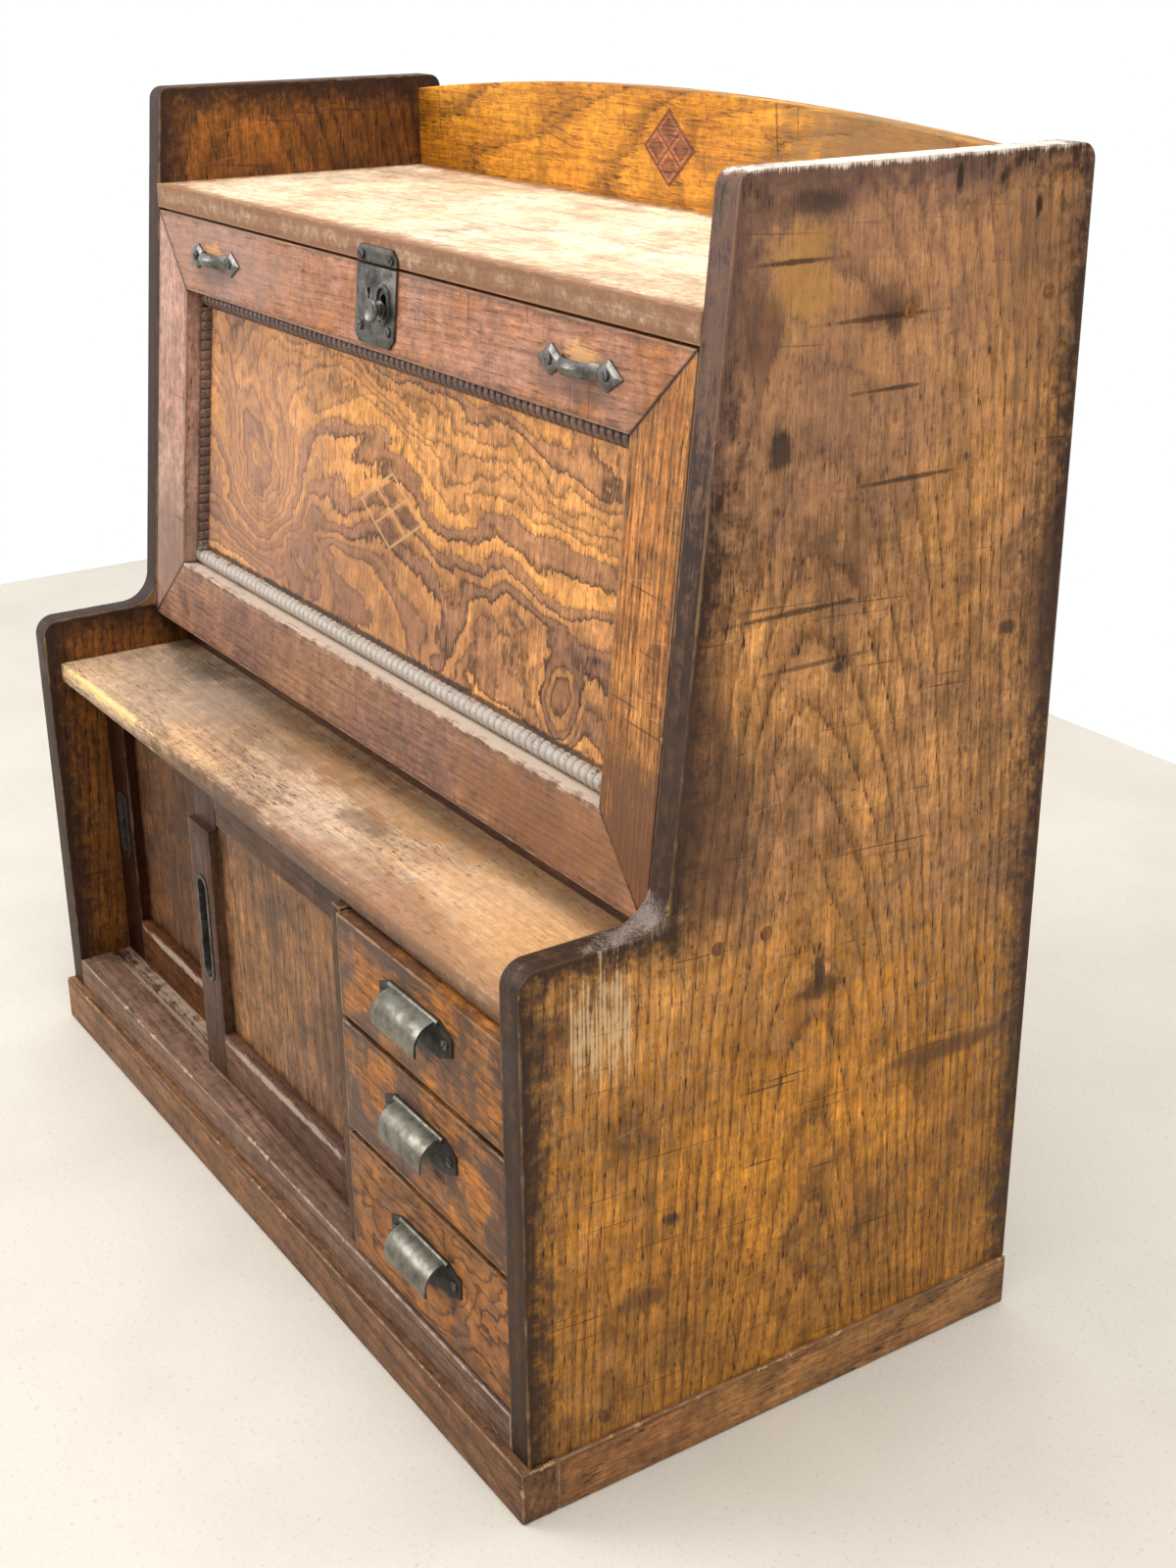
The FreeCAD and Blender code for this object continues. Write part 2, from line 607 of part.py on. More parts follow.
# Drawers: a front, a box of four boards, and a stamped cup pull with its screws
def drawer(level):
    foot = f"{level}_drawer_foot"
    head = f"{level}_drawer_head"
    left = "partition_right + drawer_side_gap"
    right = "inner_half - drawer_side_gap"
    box_foot = f"{foot} + drawer_box_lift"
    box_head = f"{head} - drawer_box_drop"
    box_rear = "drawer_inside + drawer_box_length"
    inner = (f"{left} + drawer_board", f"{right} - drawer_board")

    pull_middle = f"({foot} + {head}) / 2 + pull_offset"
    plate_face = "drawer_face - pull_plate_thickness"
    screw_places = [(f"drawer_middle + {sign}(pull_plate_half_width - pull_ear / 2)", pull_middle)
                    for sign in ("-", "")]
    holes = [screw_hole(f"{level}_hole_{i}", x, plate_face, z) for i, (x, z) in enumerate(screw_places)]
    front_board = box(f"{level}_front_board", (left, right), ("drawer_face", "drawer_inside"), (foot, head))
    piece(cut(f"{level}_front_cut", front_board, *holes), f"{level}_drawer_front")

    boards = [
        box(f"{level}_side_a", (left, inner[0]), ("drawer_inside", box_rear), (box_foot, box_head)),
        box(f"{level}_side_b", (inner[1], right), ("drawer_inside", box_rear), (box_foot, box_head)),
        box(f"{level}_back", inner, (f"{box_rear} - drawer_board", box_rear), (box_foot, box_head)),
        box(f"{level}_bottom", inner, ("drawer_inside", f"{box_rear} - drawer_board"),
            (box_foot, f"{box_foot} + drawer_bottom_thickness")),
    ]
    piece(group(f"{level}_boards", *boards), f"{level}_drawer_box")

    # The hood is a quarter tube of sheet that springs from the plate's top and ends in a straight lip
    ear = "pull_plate_half_width - pull_ear"
    step = "pull_plate_half_height / 2"
    plate_outline = []
    for x, z in ((f"-({ear})", "pull_plate_half_height"), ("-pull_plate_half_width", step),
                 ("-pull_plate_half_width", f"-({step})"), (f"-({ear})", "-pull_plate_half_height"),
                 (ear, "-pull_plate_half_height"), ("pull_plate_half_width", f"-({step})"),
                 ("pull_plate_half_width", step), (ear, "pull_plate_half_height")):
        plate_outline.append((f"drawer_middle + {x}", f"{pull_middle} + {z}"))
    plate = slab(f"{level}_plate", "XZ", plate_outline, (plate_face, "drawer_face"))
    spring = f"{pull_middle} + pull_plate_half_height - pull_bead_radius"
    turn = f"{spring} - pull_projection"
    hood_x = ("drawer_middle - pull_hood_half_width", "drawer_middle + pull_hood_half_width")
    bead_x = ("drawer_middle - pull_bead_half_width", "drawer_middle + pull_bead_half_width")
    hood_face = f"{plate_face} - pull_projection"
    tube = cut(f"{level}_tube",
               rod(f"{level}_tube_outer", "x", hood_x, (plate_face, turn), "pull_projection"),
               rod(f"{level}_tube_inner", "x", hood_x, (plate_face, turn), "pull_projection - pull_sheet"))
    quarter = common(f"{level}_quarter", tube,
                     box(f"{level}_quarter_room", hood_x, (hood_face, plate_face), (turn, spring)))
    lip = box(f"{level}_lip", hood_x, (hood_face, f"{hood_face} + pull_sheet"),
              (f"{turn} - pull_lip_height", turn))
    bead = common(f"{level}_bead",
                  rod(f"{level}_bead_rod", "x", bead_x, (plate_face, spring), "pull_bead_radius"),
                  box(f"{level}_bead_room", bead_x, (f"{plate_face} - pull_bead_radius", plate_face),
                      (f"{spring} - pull_bead_radius", f"{spring} + pull_bead_radius")))
    piece(cut(f"{level}_pull_cut", join(f"{level}_pull_blank", plate, quarter, lip, bead), *holes),
          f"{level}_drawer_pull")
    piece(group(f"{level}_screws", *[screw(f"{level}_screw_{i}", x, plate_face, z)
                                     for i, (x, z) in enumerate(screw_places)]), f"{level}_drawer_screws")


drawer_levels = ("upper", "middle", "lower")
for drawer_level in drawer_levels:
    drawer(drawer_level)

# Rails behind the upper drawer fronts, and runners on the partition and the right side
rails = []
runners = []
for drawer_level in drawer_levels:
    runner_top = f"{drawer_level}_drawer_foot + drawer_box_lift - running_gap"
    runner_rise = (f"{runner_top} - runner_height", runner_top)
    rail_front = "drawer_inside + running_gap"
    rail_rear = "drawer_inside + running_gap + drawer_rail_depth"
    runner_front = "right_groove_front"
    if drawer_level != "lower":
        rails.append(box(f"{drawer_level}_rail", ("partition_right", "inner_half"), (rail_front, rail_rear),
                         runner_rise))
        runner_front = rail_rear
    for side, span in (("a", ("partition_right", "partition_right + runner_width")),
                       ("b", ("inner_half - runner_width", "inner_half"))):
        runners.append(box(f"{drawer_level}_runner_{side}", span, (runner_front, "back_front"), runner_rise))
piece(group("rail_pair", *rails), "drawer_rails")
piece(group("runner_set", *runners), "drawer_runners")

# Butt hinges: each has a leaf in the hinge rail, a leaf in the flap and a pin
hinge_ends = {"left": "-hinge_middle", "right": "hinge_middle"}
fixed_leaves = []
moving_leaves = []
pins = []
rail_recesses = []
flap_recesses = []
for hand, middle in hinge_ends.items():
    whole = (f"{middle} - hinge_length / 2", f"{middle} + hinge_length / 2")
    inner = (f"{middle} - knuckle_middle / 2", f"{middle} + knuckle_middle / 2")
    outer_a = (whole[0], f"{inner[0]} - knuckle_gap")
    outer_b = (f"{inner[1]} + knuckle_gap", whole[1])
    room_inner = (outer_a[1], outer_b[0])
    axis = ("hinge_place", "hinge_height")
    knuckle_room = "knuckle_radius + knuckle_room"
    leaf_y = ("hinge_place + hinge_leaf_start", "hinge_place + hinge_leaf_width")
    leaf_z = ("hinge_height - hinge_leaf_thickness", "hinge_height")
    fixed_leaves.append(cut(
        f"{hand}_fixed_leaf",
        join(f"{hand}_fixed_blank", box(f"{hand}_fixed_plate", whole, leaf_y, leaf_z),
             rod(f"{hand}_fixed_knuckle_a", "x", outer_a, axis, "knuckle_radius"),
             rod(f"{hand}_fixed_knuckle_b", "x", outer_b, axis, "knuckle_radius")),
        rod(f"{hand}_fixed_room", "x", room_inner, axis, knuckle_room),
        rod(f"{hand}_fixed_bore", "x", whole, axis, "bore_radius")))
    pins.append(rod(f"{hand}_pin", "x", whole, axis, "pin_radius"))
    rail_recesses.append(box(f"{hand}_rail_recess", whole, leaf_y, leaf_z))
    rail_recesses.append(rod(f"{hand}_rail_room", "x", whole, axis, knuckle_room))

    flap_axis = ("0", "0")
    flap_leaf_y = ("-hinge_leaf_thickness", "0")
    flap_leaf_z = ("hinge_leaf_start", "hinge_leaf_width")
    moving_leaves.append(cut(
        f"{hand}_moving_leaf",
        join(f"{hand}_moving_blank", box(f"{hand}_moving_plate", whole, flap_leaf_y, flap_leaf_z),
             rod(f"{hand}_moving_knuckle", "x", inner, flap_axis, "knuckle_radius")),
        rod(f"{hand}_moving_room_a", "x", (whole[0], inner[0]), flap_axis, knuckle_room),
        rod(f"{hand}_moving_room_b", "x", (inner[1], whole[1]), flap_axis, knuckle_room),
        rod(f"{hand}_moving_bore", "x", whole, flap_axis, "bore_radius")))
    flap_recesses.append(box(f"{hand}_flap_recess", whole, flap_leaf_y, flap_leaf_z))
    flap_recesses.append(rod(f"{hand}_flap_room", "x", whole, flap_axis, knuckle_room))
piece(group("fixed_leaf_pair", *fixed_leaves), "hinge_fixed_leaves")
piece(group("pin_pair", *pins), "hinge_pins")
piece(seat_on_flap(group("moving_leaf_pair", *moving_leaves)), "hinge_moving_leaves")

# Hinge rail: the dark strip under the drop front, which carries the hinges
hinge_rail_blank = box("hinge_rail_blank", between_sides, ("hinge_rail_front", "desk_front"),
                       ("shelf_height", "hinge_height"))
piece(cut("hinge_rail_cut", hinge_rail_blank, *rail_recesses), "hinge_rail")

# Stop battens behind the drop front
stop_y = ("running_gap", "running_gap + stop_width")
stop_z = ("stop_end_margin", "flap_length - stop_end_margin")
stops = [box("left_stop", ("-inner_half", "stop_width - inner_half"), stop_y, stop_z),
         box("right_stop", ("inner_half - stop_width", "inner_half"), stop_y, stop_z)]
piece(seat_on_flap(group("stop_pair", *stops)), "flap_stops")

# Drop front: mitred frame, panel in its groove, and rope mouldings in the recess
frame_y = ("-flap_thickness", "0")
sight_corners = {"bl": ("-sight_half", "sight_foot"), "br": ("sight_half", "sight_foot"),
                 "tl": ("-sight_half", "sight_head"), "tr": ("sight_half", "sight_head")}
outer_corners = {"bl": ("-flap_half", "0"), "br": ("flap_half", "0"),
                 "tl": ("-flap_half", "flap_length"), "tr": ("flap_half", "flap_length")}
panel = box("flap_panel_board",
            ("-sight_half - flap_panel_tongue", "sight_half + flap_panel_tongue"),
            ("flap_panel_face", "flap_panel_rear"),
            ("sight_foot - flap_panel_tongue", "sight_head + flap_panel_tongue"))
handle_screw_places = []
for hand_sign in ("-", ""):
    for foot_sign in ("-", "+"):
        handle_screw_places.append((f"{hand_sign}handle_offset {foot_sign} handle_foot_distance",
                                    "handle_face", "handle_height"))
latch_screw_places = [
    ("latch_left + latch_screw_inset", "latch_face", "latch_foot + latch_screw_inset + latch_corner / 2"),
    ("latch_right - latch_screw_inset", "latch_face", "latch_foot + latch_screw_inset + latch_corner / 2"),
]
flap_screw_places = handle_screw_places + latch_screw_places
flap_holes = [screw_hole(f"flap_hole_{i}", *place) for i, place in enumerate(flap_screw_places)]
bolt_mortise = box("bolt_mortise", mortise_x, mortise_y,
                   ("flap_length - bolt_height - bolt_top_gap - mortise_clearance", "flap_length"))
stem_room = "(stem_radius + mortise_clearance)"
stem_slot = slot("stem_slot", "knob_place", ("latch_face", "bolt_front"),
                 (f"knob_height - {stem_room}", f"knob_height + knob_travel + {stem_room}"), stem_room)
frame_sides = {
    "flap_top_rail": (("tl", "tr"), [bolt_mortise, stem_slot] + flap_holes),
    "flap_bottom_rail": (("br", "bl"), flap_recesses),
    "flap_left_stile": (("bl", "tl"), []),
    "flap_right_stile": (("tr", "br"), []),
}
for label, ((start_corner, end_corner), tools) in frame_sides.items():
    blank = slab(f"{label}_blank", "XZ",
                 [outer_corners[start_corner], outer_corners[end_corner],
                  sight_corners[end_corner], sight_corners[start_corner]], frame_y)
    piece(seat_on_flap(cut(f"{label}_cut", blank, panel, *tools)), label)
piece(seat_on_flap(group("panel_group", panel)), "flap_panel")

ropes = []
for end, height in (("foot", "sight_foot + rope_radius"), ("head", "sight_head - rope_radius")):
    ropes.append(rod(f"rope_{end}", "x", ("-sight_half", "sight_half"), ("flap_panel_face", height),
                     "rope_radius"))
for hand, place in (("left", "rope_radius - sight_half"), ("right", "sight_half - rope_radius")):
    ropes.append(rod(f"rope_{hand}", "z", ("sight_foot + 2 * rope_radius", "sight_head - 2 * rope_radius"),
                     (place, "flap_panel_face"), "rope_radius"))
rope_room = box("rope_room", ("-sight_half", "sight_half"),
                ("flap_panel_face", "flap_panel_face + rope_radius"), ("sight_foot", "sight_head"))
piece(seat_on_flap(cut("rope_halves", group("rope_set", *ropes), rope_room)), "rope_mouldings")


# Arched handles: a bowed flat bar that rises from two diamond feet
def handle(hand, middle, holes):
    parts = []
    for sign in ("-", "+"):
        foot_x = f"{middle} {sign} handle_foot_distance"
        outline = [(f"{foot_x} - handle_foot_half_width", "handle_height"),
                   (foot_x, "handle_height - handle_foot_half_height"),
                   (f"{foot_x} + handle_foot_half_width", "handle_height"),
                   (foot_x, "handle_height + handle_foot_half_height")]
        parts.append(slab(f"{hand}_handle_foot_{'a' if sign == '-' else 'b'}", "XZ", outline,
                          ("handle_face", "-flap_thickness")))
    bow_centre = (middle, "handle_crown + handle_radius")
    bow_z = ("handle_height - handle_bar_height / 2", "handle_height + handle_bar_height / 2")
    bow = cut(f"{hand}_handle_bow",
              rod(f"{hand}_handle_bow_outer", "z", bow_z, bow_centre, "handle_radius"),
              rod(f"{hand}_handle_bow_inner", "z", bow_z, bow_centre, "handle_radius - handle_bar_thickness"))
    parts.append(common(f"{hand}_handle_bar", bow, box(
        f"{hand}_handle_room", (f"{middle} - handle_half_span", f"{middle} + handle_half_span"),
        ("handle_crown", "-flap_thickness"), bow_z)))
    piece(seat_on_flap(cut(f"{hand}_handle_cut", join(f"{hand}_handle_blank", *parts), *holes)),
          f"handle_{hand}")


handle("left", "-handle_offset", flap_holes[0:2])
handle("right", "handle_offset", flap_holes[2:4])

# Latch plate with its raised rim, keyhole and shaped lower corners
latch_outline = [
    ("latch_left", "flap_length"),
    ("latch_left", "latch_foot + latch_corner"),
    ("latch_left + latch_corner", "latch_foot"),
    ("latch_right - latch_corner", "latch_foot"),
    ("latch_right", "latch_foot + latch_corner"),
    ("latch_right", "flap_length"),
]
latch_blank = slab("latch_blank", "XZ", latch_outline, ("latch_face", "-flap_thickness"))
boss_z = ("boss_middle - boss_half_height", "boss_middle + boss_half_height")
boss_outer = slot("boss_outer", "knob_place", ("latch_face - boss_height", "latch_face"), boss_z,
                  "boss_half_width")
boss_inner = slot("boss_inner", "knob_place", ("latch_face - boss_height", "latch_face"),
                  (f"{boss_z[0]} + boss_wall", f"{boss_z[1]} - boss_wall"), "(boss_half_width - boss_wall)")
keyhole = join(
    "keyhole",
    rod("keyhole_eye", "y", ("latch_face", "-flap_thickness"),
        ("keyhole_place", "flap_length - keyhole_drop"), "keyhole_radius"),
    box("keyhole_slit", ("keyhole_place - keyhole_radius / 2", "keyhole_place + keyhole_radius / 2"),
        ("latch_face", "-flap_thickness"),
        ("flap_length - keyhole_drop - keyhole_length", "flap_length - keyhole_drop")))
latch_solid = join("latch_solid", latch_blank, cut("boss_rim", boss_outer, boss_inner))
piece(seat_on_flap(cut("latch_cut", latch_solid, stem_slot, keyhole, *flap_holes[4:6])), "latch_plate")
piece(seat_on_flap(group("flap_screw_set", *[screw(f"flap_screw_{i}", *place)
                                             for i, place in enumerate(flap_screw_places)])), "flap_screws")

# Latch knob on its stem, and the bolt behind it
knob_parts = [
    rod("knob_stem", "y", ("head_rear", "bolt_front"), ("knob_place", "knob_height"), "stem_radius"),
    rod("knob_collar", "y", ("collar_face", "collar_rear"), ("knob_place", "knob_height"), "collar_radius"),
    rod("knob_head", "y", ("head_rear - knob_head_thickness", "head_rear"), ("knob_place", "knob_height"),
        "knob_radius"),
]
piece(seat_on_flap(join("knob_solid", *knob_parts)), "latch_knob")
bolt = box("bolt_bar", ("knob_place - bolt_half_width", "knob_place + bolt_half_width"),
           ("bolt_front", "bolt_front + bolt_thickness"),
           ("flap_length - bolt_top_gap - bolt_height", "flap_length - bolt_top_gap"))
piece(seat_on_flap(group("bolt_group", bolt)), "latch_bolt")

# Strike plate on the top board's edge
strike_outline = [
    ("latch_left", "strike_foot"),
    ("latch_right", "strike_foot"),
    ("latch_right", "strike_foot + strike_height - strike_corner"),
    ("latch_right - strike_corner", "strike_foot + strike_height"),
    ("latch_left + strike_corner", "strike_foot + strike_height"),
    ("latch_left", "strike_foot + strike_height - strike_corner"),
]
strike_blank = slab("strike_blank", "XZ", strike_outline, ("strike_face", "top_front"))
piece(cut("strike_cut", strike_blank, *strike_holes), "strike_plate")
piece(group("strike_screw_pair", *[screw(f"strike_screw_{i}", x, "strike_face", z)
                                   for i, (x, z) in enumerate(strike_screw_places)]), "strike_screws")

# Check every object and sub-part, then write the sub-parts
document.recompute()
for item in document.Objects:
    if "Invalid" in item.State or "Error" in item.State:
        raise RuntimeError(f"{item.Label} failed to build")
for item in pieces:
    if item.Shape.isNull() or not item.Shape.isValid():
        raise RuntimeError(f"{item.Label} has no valid shape")
os.makedirs("parts", exist_ok=True)
for item in pieces:
    item.Shape.exportStep(f"parts/{item.Label}.step")
    print(f"{item.Label}: {len(item.Shape.Solids)} solids, {item.Shape.Volume / 1000:.1f} cm3")
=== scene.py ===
import json
import math
import bpy
from mathutils import Matrix, Vector

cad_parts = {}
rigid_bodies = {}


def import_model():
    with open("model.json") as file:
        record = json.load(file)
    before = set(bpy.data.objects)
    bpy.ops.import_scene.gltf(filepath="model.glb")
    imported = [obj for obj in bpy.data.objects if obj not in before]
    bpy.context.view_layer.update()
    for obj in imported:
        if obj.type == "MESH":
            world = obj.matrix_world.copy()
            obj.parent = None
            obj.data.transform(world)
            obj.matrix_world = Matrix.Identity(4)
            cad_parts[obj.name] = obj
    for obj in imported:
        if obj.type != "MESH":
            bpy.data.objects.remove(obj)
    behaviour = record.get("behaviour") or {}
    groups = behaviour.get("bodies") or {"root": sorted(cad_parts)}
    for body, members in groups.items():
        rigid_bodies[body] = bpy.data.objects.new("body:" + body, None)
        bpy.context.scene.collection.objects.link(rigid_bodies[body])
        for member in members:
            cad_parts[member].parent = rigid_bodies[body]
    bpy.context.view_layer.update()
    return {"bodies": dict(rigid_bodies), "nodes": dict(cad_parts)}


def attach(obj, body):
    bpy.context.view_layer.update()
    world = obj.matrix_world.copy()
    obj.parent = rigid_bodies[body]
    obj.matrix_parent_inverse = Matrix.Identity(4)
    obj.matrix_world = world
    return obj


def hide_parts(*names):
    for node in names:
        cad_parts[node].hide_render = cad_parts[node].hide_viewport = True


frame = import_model()
print("frame loaded:", len(frame["nodes"]), "nodes")

mmPerMetre = 1000
# the leaning drop front: its hinge line, in metres, and how far it leans back
dropFront = {"hinge": Vector((0, -0.05045, 0.286)), "leanDegrees": 5.75}
leanTurn = math.radians(dropFront["leanDegrees"])
standUp = Matrix.Rotation(leanTurn, 4, "X") @ Matrix.Translation(-dropFront["hinge"])
layBack = standUp.inverted()
faceFront = Matrix.Rotation(math.radians(90), 4, "X")      # for a piece that is modelled facing up


# the camera stands where the photograph was taken from
camera = {"spot": (0.963494, -0.54634, 0.705059), "azimuth": 56.745, "elevation": 22.657,
          "roll": -0.461, "lensMm": 47.13, "sensorMm": 36}


def aimCamera(camera):
    turn, rise, roll = [math.radians(camera[k]) for k in ("azimuth", "elevation", "roll")]
    back = Vector((math.sin(turn) * math.cos(rise), -math.cos(turn) * math.cos(rise), math.sin(rise)))
    right = (-back).cross(Vector((0, 0, 1))).normalized()
    up = right.cross(-back)
    rolledRight = math.cos(roll) * right + math.sin(roll) * up
    rolledUp = math.cos(roll) * up - math.sin(roll) * right
    bpy.ops.object.camera_add(location=camera["spot"])
    shooter = bpy.context.object
    shooter.rotation_mode = "QUATERNION"
    shooter.rotation_quaternion = Matrix((rolledRight, rolledUp, back)).transposed().to_quaternion()
    shooter.data.sensor_width = camera["sensorMm"]
    shooter.data.lens = camera["lensMm"]
    bpy.context.scene.camera = shooter


aimCamera(camera)
print("camera aimed")


def linear(hexCode):
    channels = [int(hexCode[i:i + 2], 16) / 255 for i in (1, 3, 5)]
    return [c / 12.92 if c <= 0.04045 else ((c + 0.055) / 1.055) ** 2.4 for c in channels] + [1]


def put(tree, kind, *feeds, out=0, named=None, **settings):
    # adds one node: feeds fill its inputs in order, named ones by name; a socket is linked, a value is set
    node = tree.nodes.new("ShaderNode" + kind)
    for key, value in settings.items():
        setattr(node, key, value)
    pairs = list(zip([s for s in node.inputs if s.enabled], feeds))
    pairs += [(node.inputs[key], feed) for key, feed in (named or {}).items()]
    for socket, feed in pairs:
        if isinstance(feed, bpy.types.NodeSocket):
            tree.links.new(feed, socket)
        elif feed is not None:
            socket.default_value = feed
    shown = [s for s in node.outputs if s.enabled]
    return shown[out] if shown else None


def newMaterial(name):
    material = bpy.data.materials.new(name)
    material.use_nodes = True
    material.node_tree.nodes.clear()
    return material, material.node_tree


# a bright white wall stands behind, the room in front is dimmer; wide soft lamps overhead, front left and right
room = {"skyHex": "#f6f8fa", "wall": 1.08, "room": 0.42, "wallWay": (-0.80, 0.55, 0.25), "wallEdge": (0.0, 0.5),
        "lamps": [{"spot": (0.3, -0.3, 2.6), "aim": (0, 0, 0.3), "size": 1.6, "watts": 40},
                  {"spot": (-1.7, -2.0, 1.5), "aim": (0, 0, 0.35), "size": 1.4, "watts": 46},
                  {"spot": (2.6, -0.4, 1.8), "aim": (0, 0, 0.35), "size": 1.8, "watts": 33}]}


def lightRoom(room):
    world = bpy.data.worlds.new("bright_room")
    world.use_nodes = True
    tree = world.node_tree
    tree.nodes.clear()
    facing = put(tree, "VectorMath", put(tree, "TexCoord", out=0), room["wallWay"], operation="DOT_PRODUCT")
    glow = put(tree, "MapRange", facing, *room["wallEdge"], room["room"], room["wall"],
               interpolation_type="SMOOTHSTEP")
    put(tree, "OutputWorld", put(tree, "Background", linear(room["skyHex"]), glow))
    bpy.context.scene.world = world
    for lamp in room["lamps"]:
        bpy.ops.object.light_add(type="AREA", location=lamp["spot"])
        light = bpy.context.object
        light.data.size = lamp["size"]
        light.data.energy = lamp["watts"]
        light.rotation_mode = "QUATERNION"
        light.rotation_quaternion = (Vector(lamp["aim"]) - Vector(lamp["spot"])).to_track_quat("-Z", "Y")
    bpy.context.scene.view_settings.view_transform = "Standard"
    bpy.context.scene.view_settings.look = "None"


lightRoom(room)

# pale power-floated concrete: nearly even, with faint cloudy wear
floor = {"low": (-1.345, -5.0), "high": (6.0, 0.845), "paleHex": "#d6cfc2", "wornHex": "#c9c1b4",
         "speckHex": "#a79f93", "wornCut": (0.42, 0.66, 0, 0.6), "speckCut": (0.58, 0.72, 0, 0.5),
         "clouds": 5, "grains": 160, "specks": 330}        # to a metre: clouds of 200 mm, grains of 6, specks of 3


def layFloor(floor):
    (x0, y0), (x1, y1) = floor["low"], floor["high"]
    bpy.ops.mesh.primitive_plane_add(size=1, location=((x0 + x1) / 2, (y0 + y1) / 2, 0))
    ground = bpy.context.object
    ground.name = "floor"
    ground.scale = (x1 - x0, y1 - y0, 1)
    bpy.ops.object.transform_apply(location=True, rotation=False, scale=True)
    material, tree = newMaterial("floated_concrete")
    here = put(tree, "TexCoord", out=3)
    clouds = put(tree, "TexNoise", here, floor["clouds"], 6, 0.6)
    grains = put(tree, "TexNoise", here, floor["grains"], 3, 0.6)
    worn = put(tree, "MapRange", clouds, *floor["wornCut"])
    specks = put(tree, "TexNoise", here, floor["specks"], 3, 0.7)
    specks = put(tree, "MapRange", specks, *floor["speckCut"])
    colour = put(tree, "Mix", worn, linear(floor["paleHex"]), linear(floor["wornHex"]), data_type="RGBA")
    colour = put(tree, "Mix", specks, colour, linear(floor["speckHex"]), data_type="RGBA")
    bump = put(tree, "Bump", named={"Strength": 0.15, "Distance": 0.001, "Height": grains})
    shader = put(tree, "BsdfPrincipled", named={"Base Color": colour, "Roughness": 0.75, "Normal": bump})
    put(tree, "OutputMaterial", shader)
    ground.data.materials.append(material)


layFloor(floor)
print("room lit, floor laid")


# oiled and shellacked boards, a century old: dark ring lines, open pores along the grain, grime rubbed in
# at the edges (on the door panels a painted shade along the frames), pale raw wood where an arris has chipped, scuffs
# across the grain and ink-dark stains
woodHabits = {
    "wood": "oiled_ash",
    "axes": "zyx",                 # across the board, through it, along the fibres
    "shift": (0, 0, 0), "lean": False,
    "lightHex": "#94622f", "tintHex": "#7d5230", "darkHex": "#4c2e1a", "poreHex": "#1c0f08",
    "ringMm": 6.0, "pith": (0, 45), "slope": 0.06, "sway": 26, "jagMm": 3.0, "jagGrain": (2.4, 16), "lineShare": 0.55,
    "burl": None, "knots": [], "zones": 0, "figure": 0.7, "pores": 0.85, "streaks": 0.36, "nicks": 0.75,
    "cloudMm": 120, "patch": 0.18, "speckle": 0.22,
    "stain": 0.6, "stainHex": "#2a1911", "stainMm": 45, "stainCut": (0.55, 0.74),
    "scuffs": [(1.5, "#2f1c12", 0.65), (0.2, "#2f1c12", 0.5), (1.75, "#c8a078", 0.22)],
    "edgeMm": 7, "grimeAndShade": 0.7, "grimeAndShadeHex": "#28170f", "arris": 0.45, "arrisHex": "#b08658",
    "chipMm": 2.0, "chipHex": "#d9ae78", "chipCut": 0.56, "rough": (0.42, 0.66), "gloss": 0.25, "bump": 0.5,
    "marks": [], "lozenge": None, "mitre": None, "limits": None, "profile": None, "twin": None,
}
# sizes in millimetres, across the fibres and along them; real pores are a quarter as wide, and these are
# drawn coarse enough to show
grainMm = {"drift": (85, 320), "pore": (1.2, 8), "fine": (0.8, 20), "coarse": (2.6, 110), "scuff": (1.7, 70)}
spotMm = {"ragged": 9, "nick": 3.4, "patch": 70, "dapple": 16, "speckle": 4.5, "chip": 13}
# where each noise begins to count and where it counts in full, some with what it gives there
noiseCut = {"pore": (0.565, 0.635), "nick": (0.63, 0.70), "tint": (0.36, 0.64, 0, 1), "patch": (0.32, 0.68),
            "dapple": (0.34, 0.66), "speckle": (0.34, 0.66), "streak": (0.76, 1.24), "scuff": (0.70, 0.76),
            "late": (0.9, 1, 0, 1), "cell": (0.35, 0.6, 0.3, 1), "rubbed": (0.42, 0.56, 0.25, 1),
            "mark": (0.45, 1.0), "worn": (0.2, 0.7)}
ringLine = {"fade": 1.5, "faintest": 0.35, "poresBetween": 0.45}
evenShade = 1.1
# where the inlay's cells and lines begin and end, as shares of the lozenge, and how strong they are
inlayCut = {"cellIn": (0.14, 0.18, 0, 0.8), "cellOut": (0.78, 0.82, 1, 0), "frame": 0.94,
            "frameLine": (0.03, 0.06, 0.75, 0), "crossLine": (0.03, 0.06, 0.7, 0), "crossEnd": (0.9, 0.94, 1, 0),
            "deepMm": (1.5, 2.5, 1, 0)}
relief = {"streak": 0.3, "grain": -0.3, "scuff": -0.6, "nick": -0.6, "ragged": 0.5, "chip": -0.8, "metres": 0.0008}
scuffApart = (31, 0, 17)           # each set of scuffs starts elsewhere in the noise
rimWear = {"grimeAndShadeFray": 1.6, "rubFrayMm": 4, "rubMm": 1.3, "chipSpread": 0.17, "chipFadeMm": 0.7, "chipShare": 0.8}
seamDirt = {"frayMm": -2, "reachMm": (-0.6, 1.4), "strength": 0.9}
markFray = 1.7


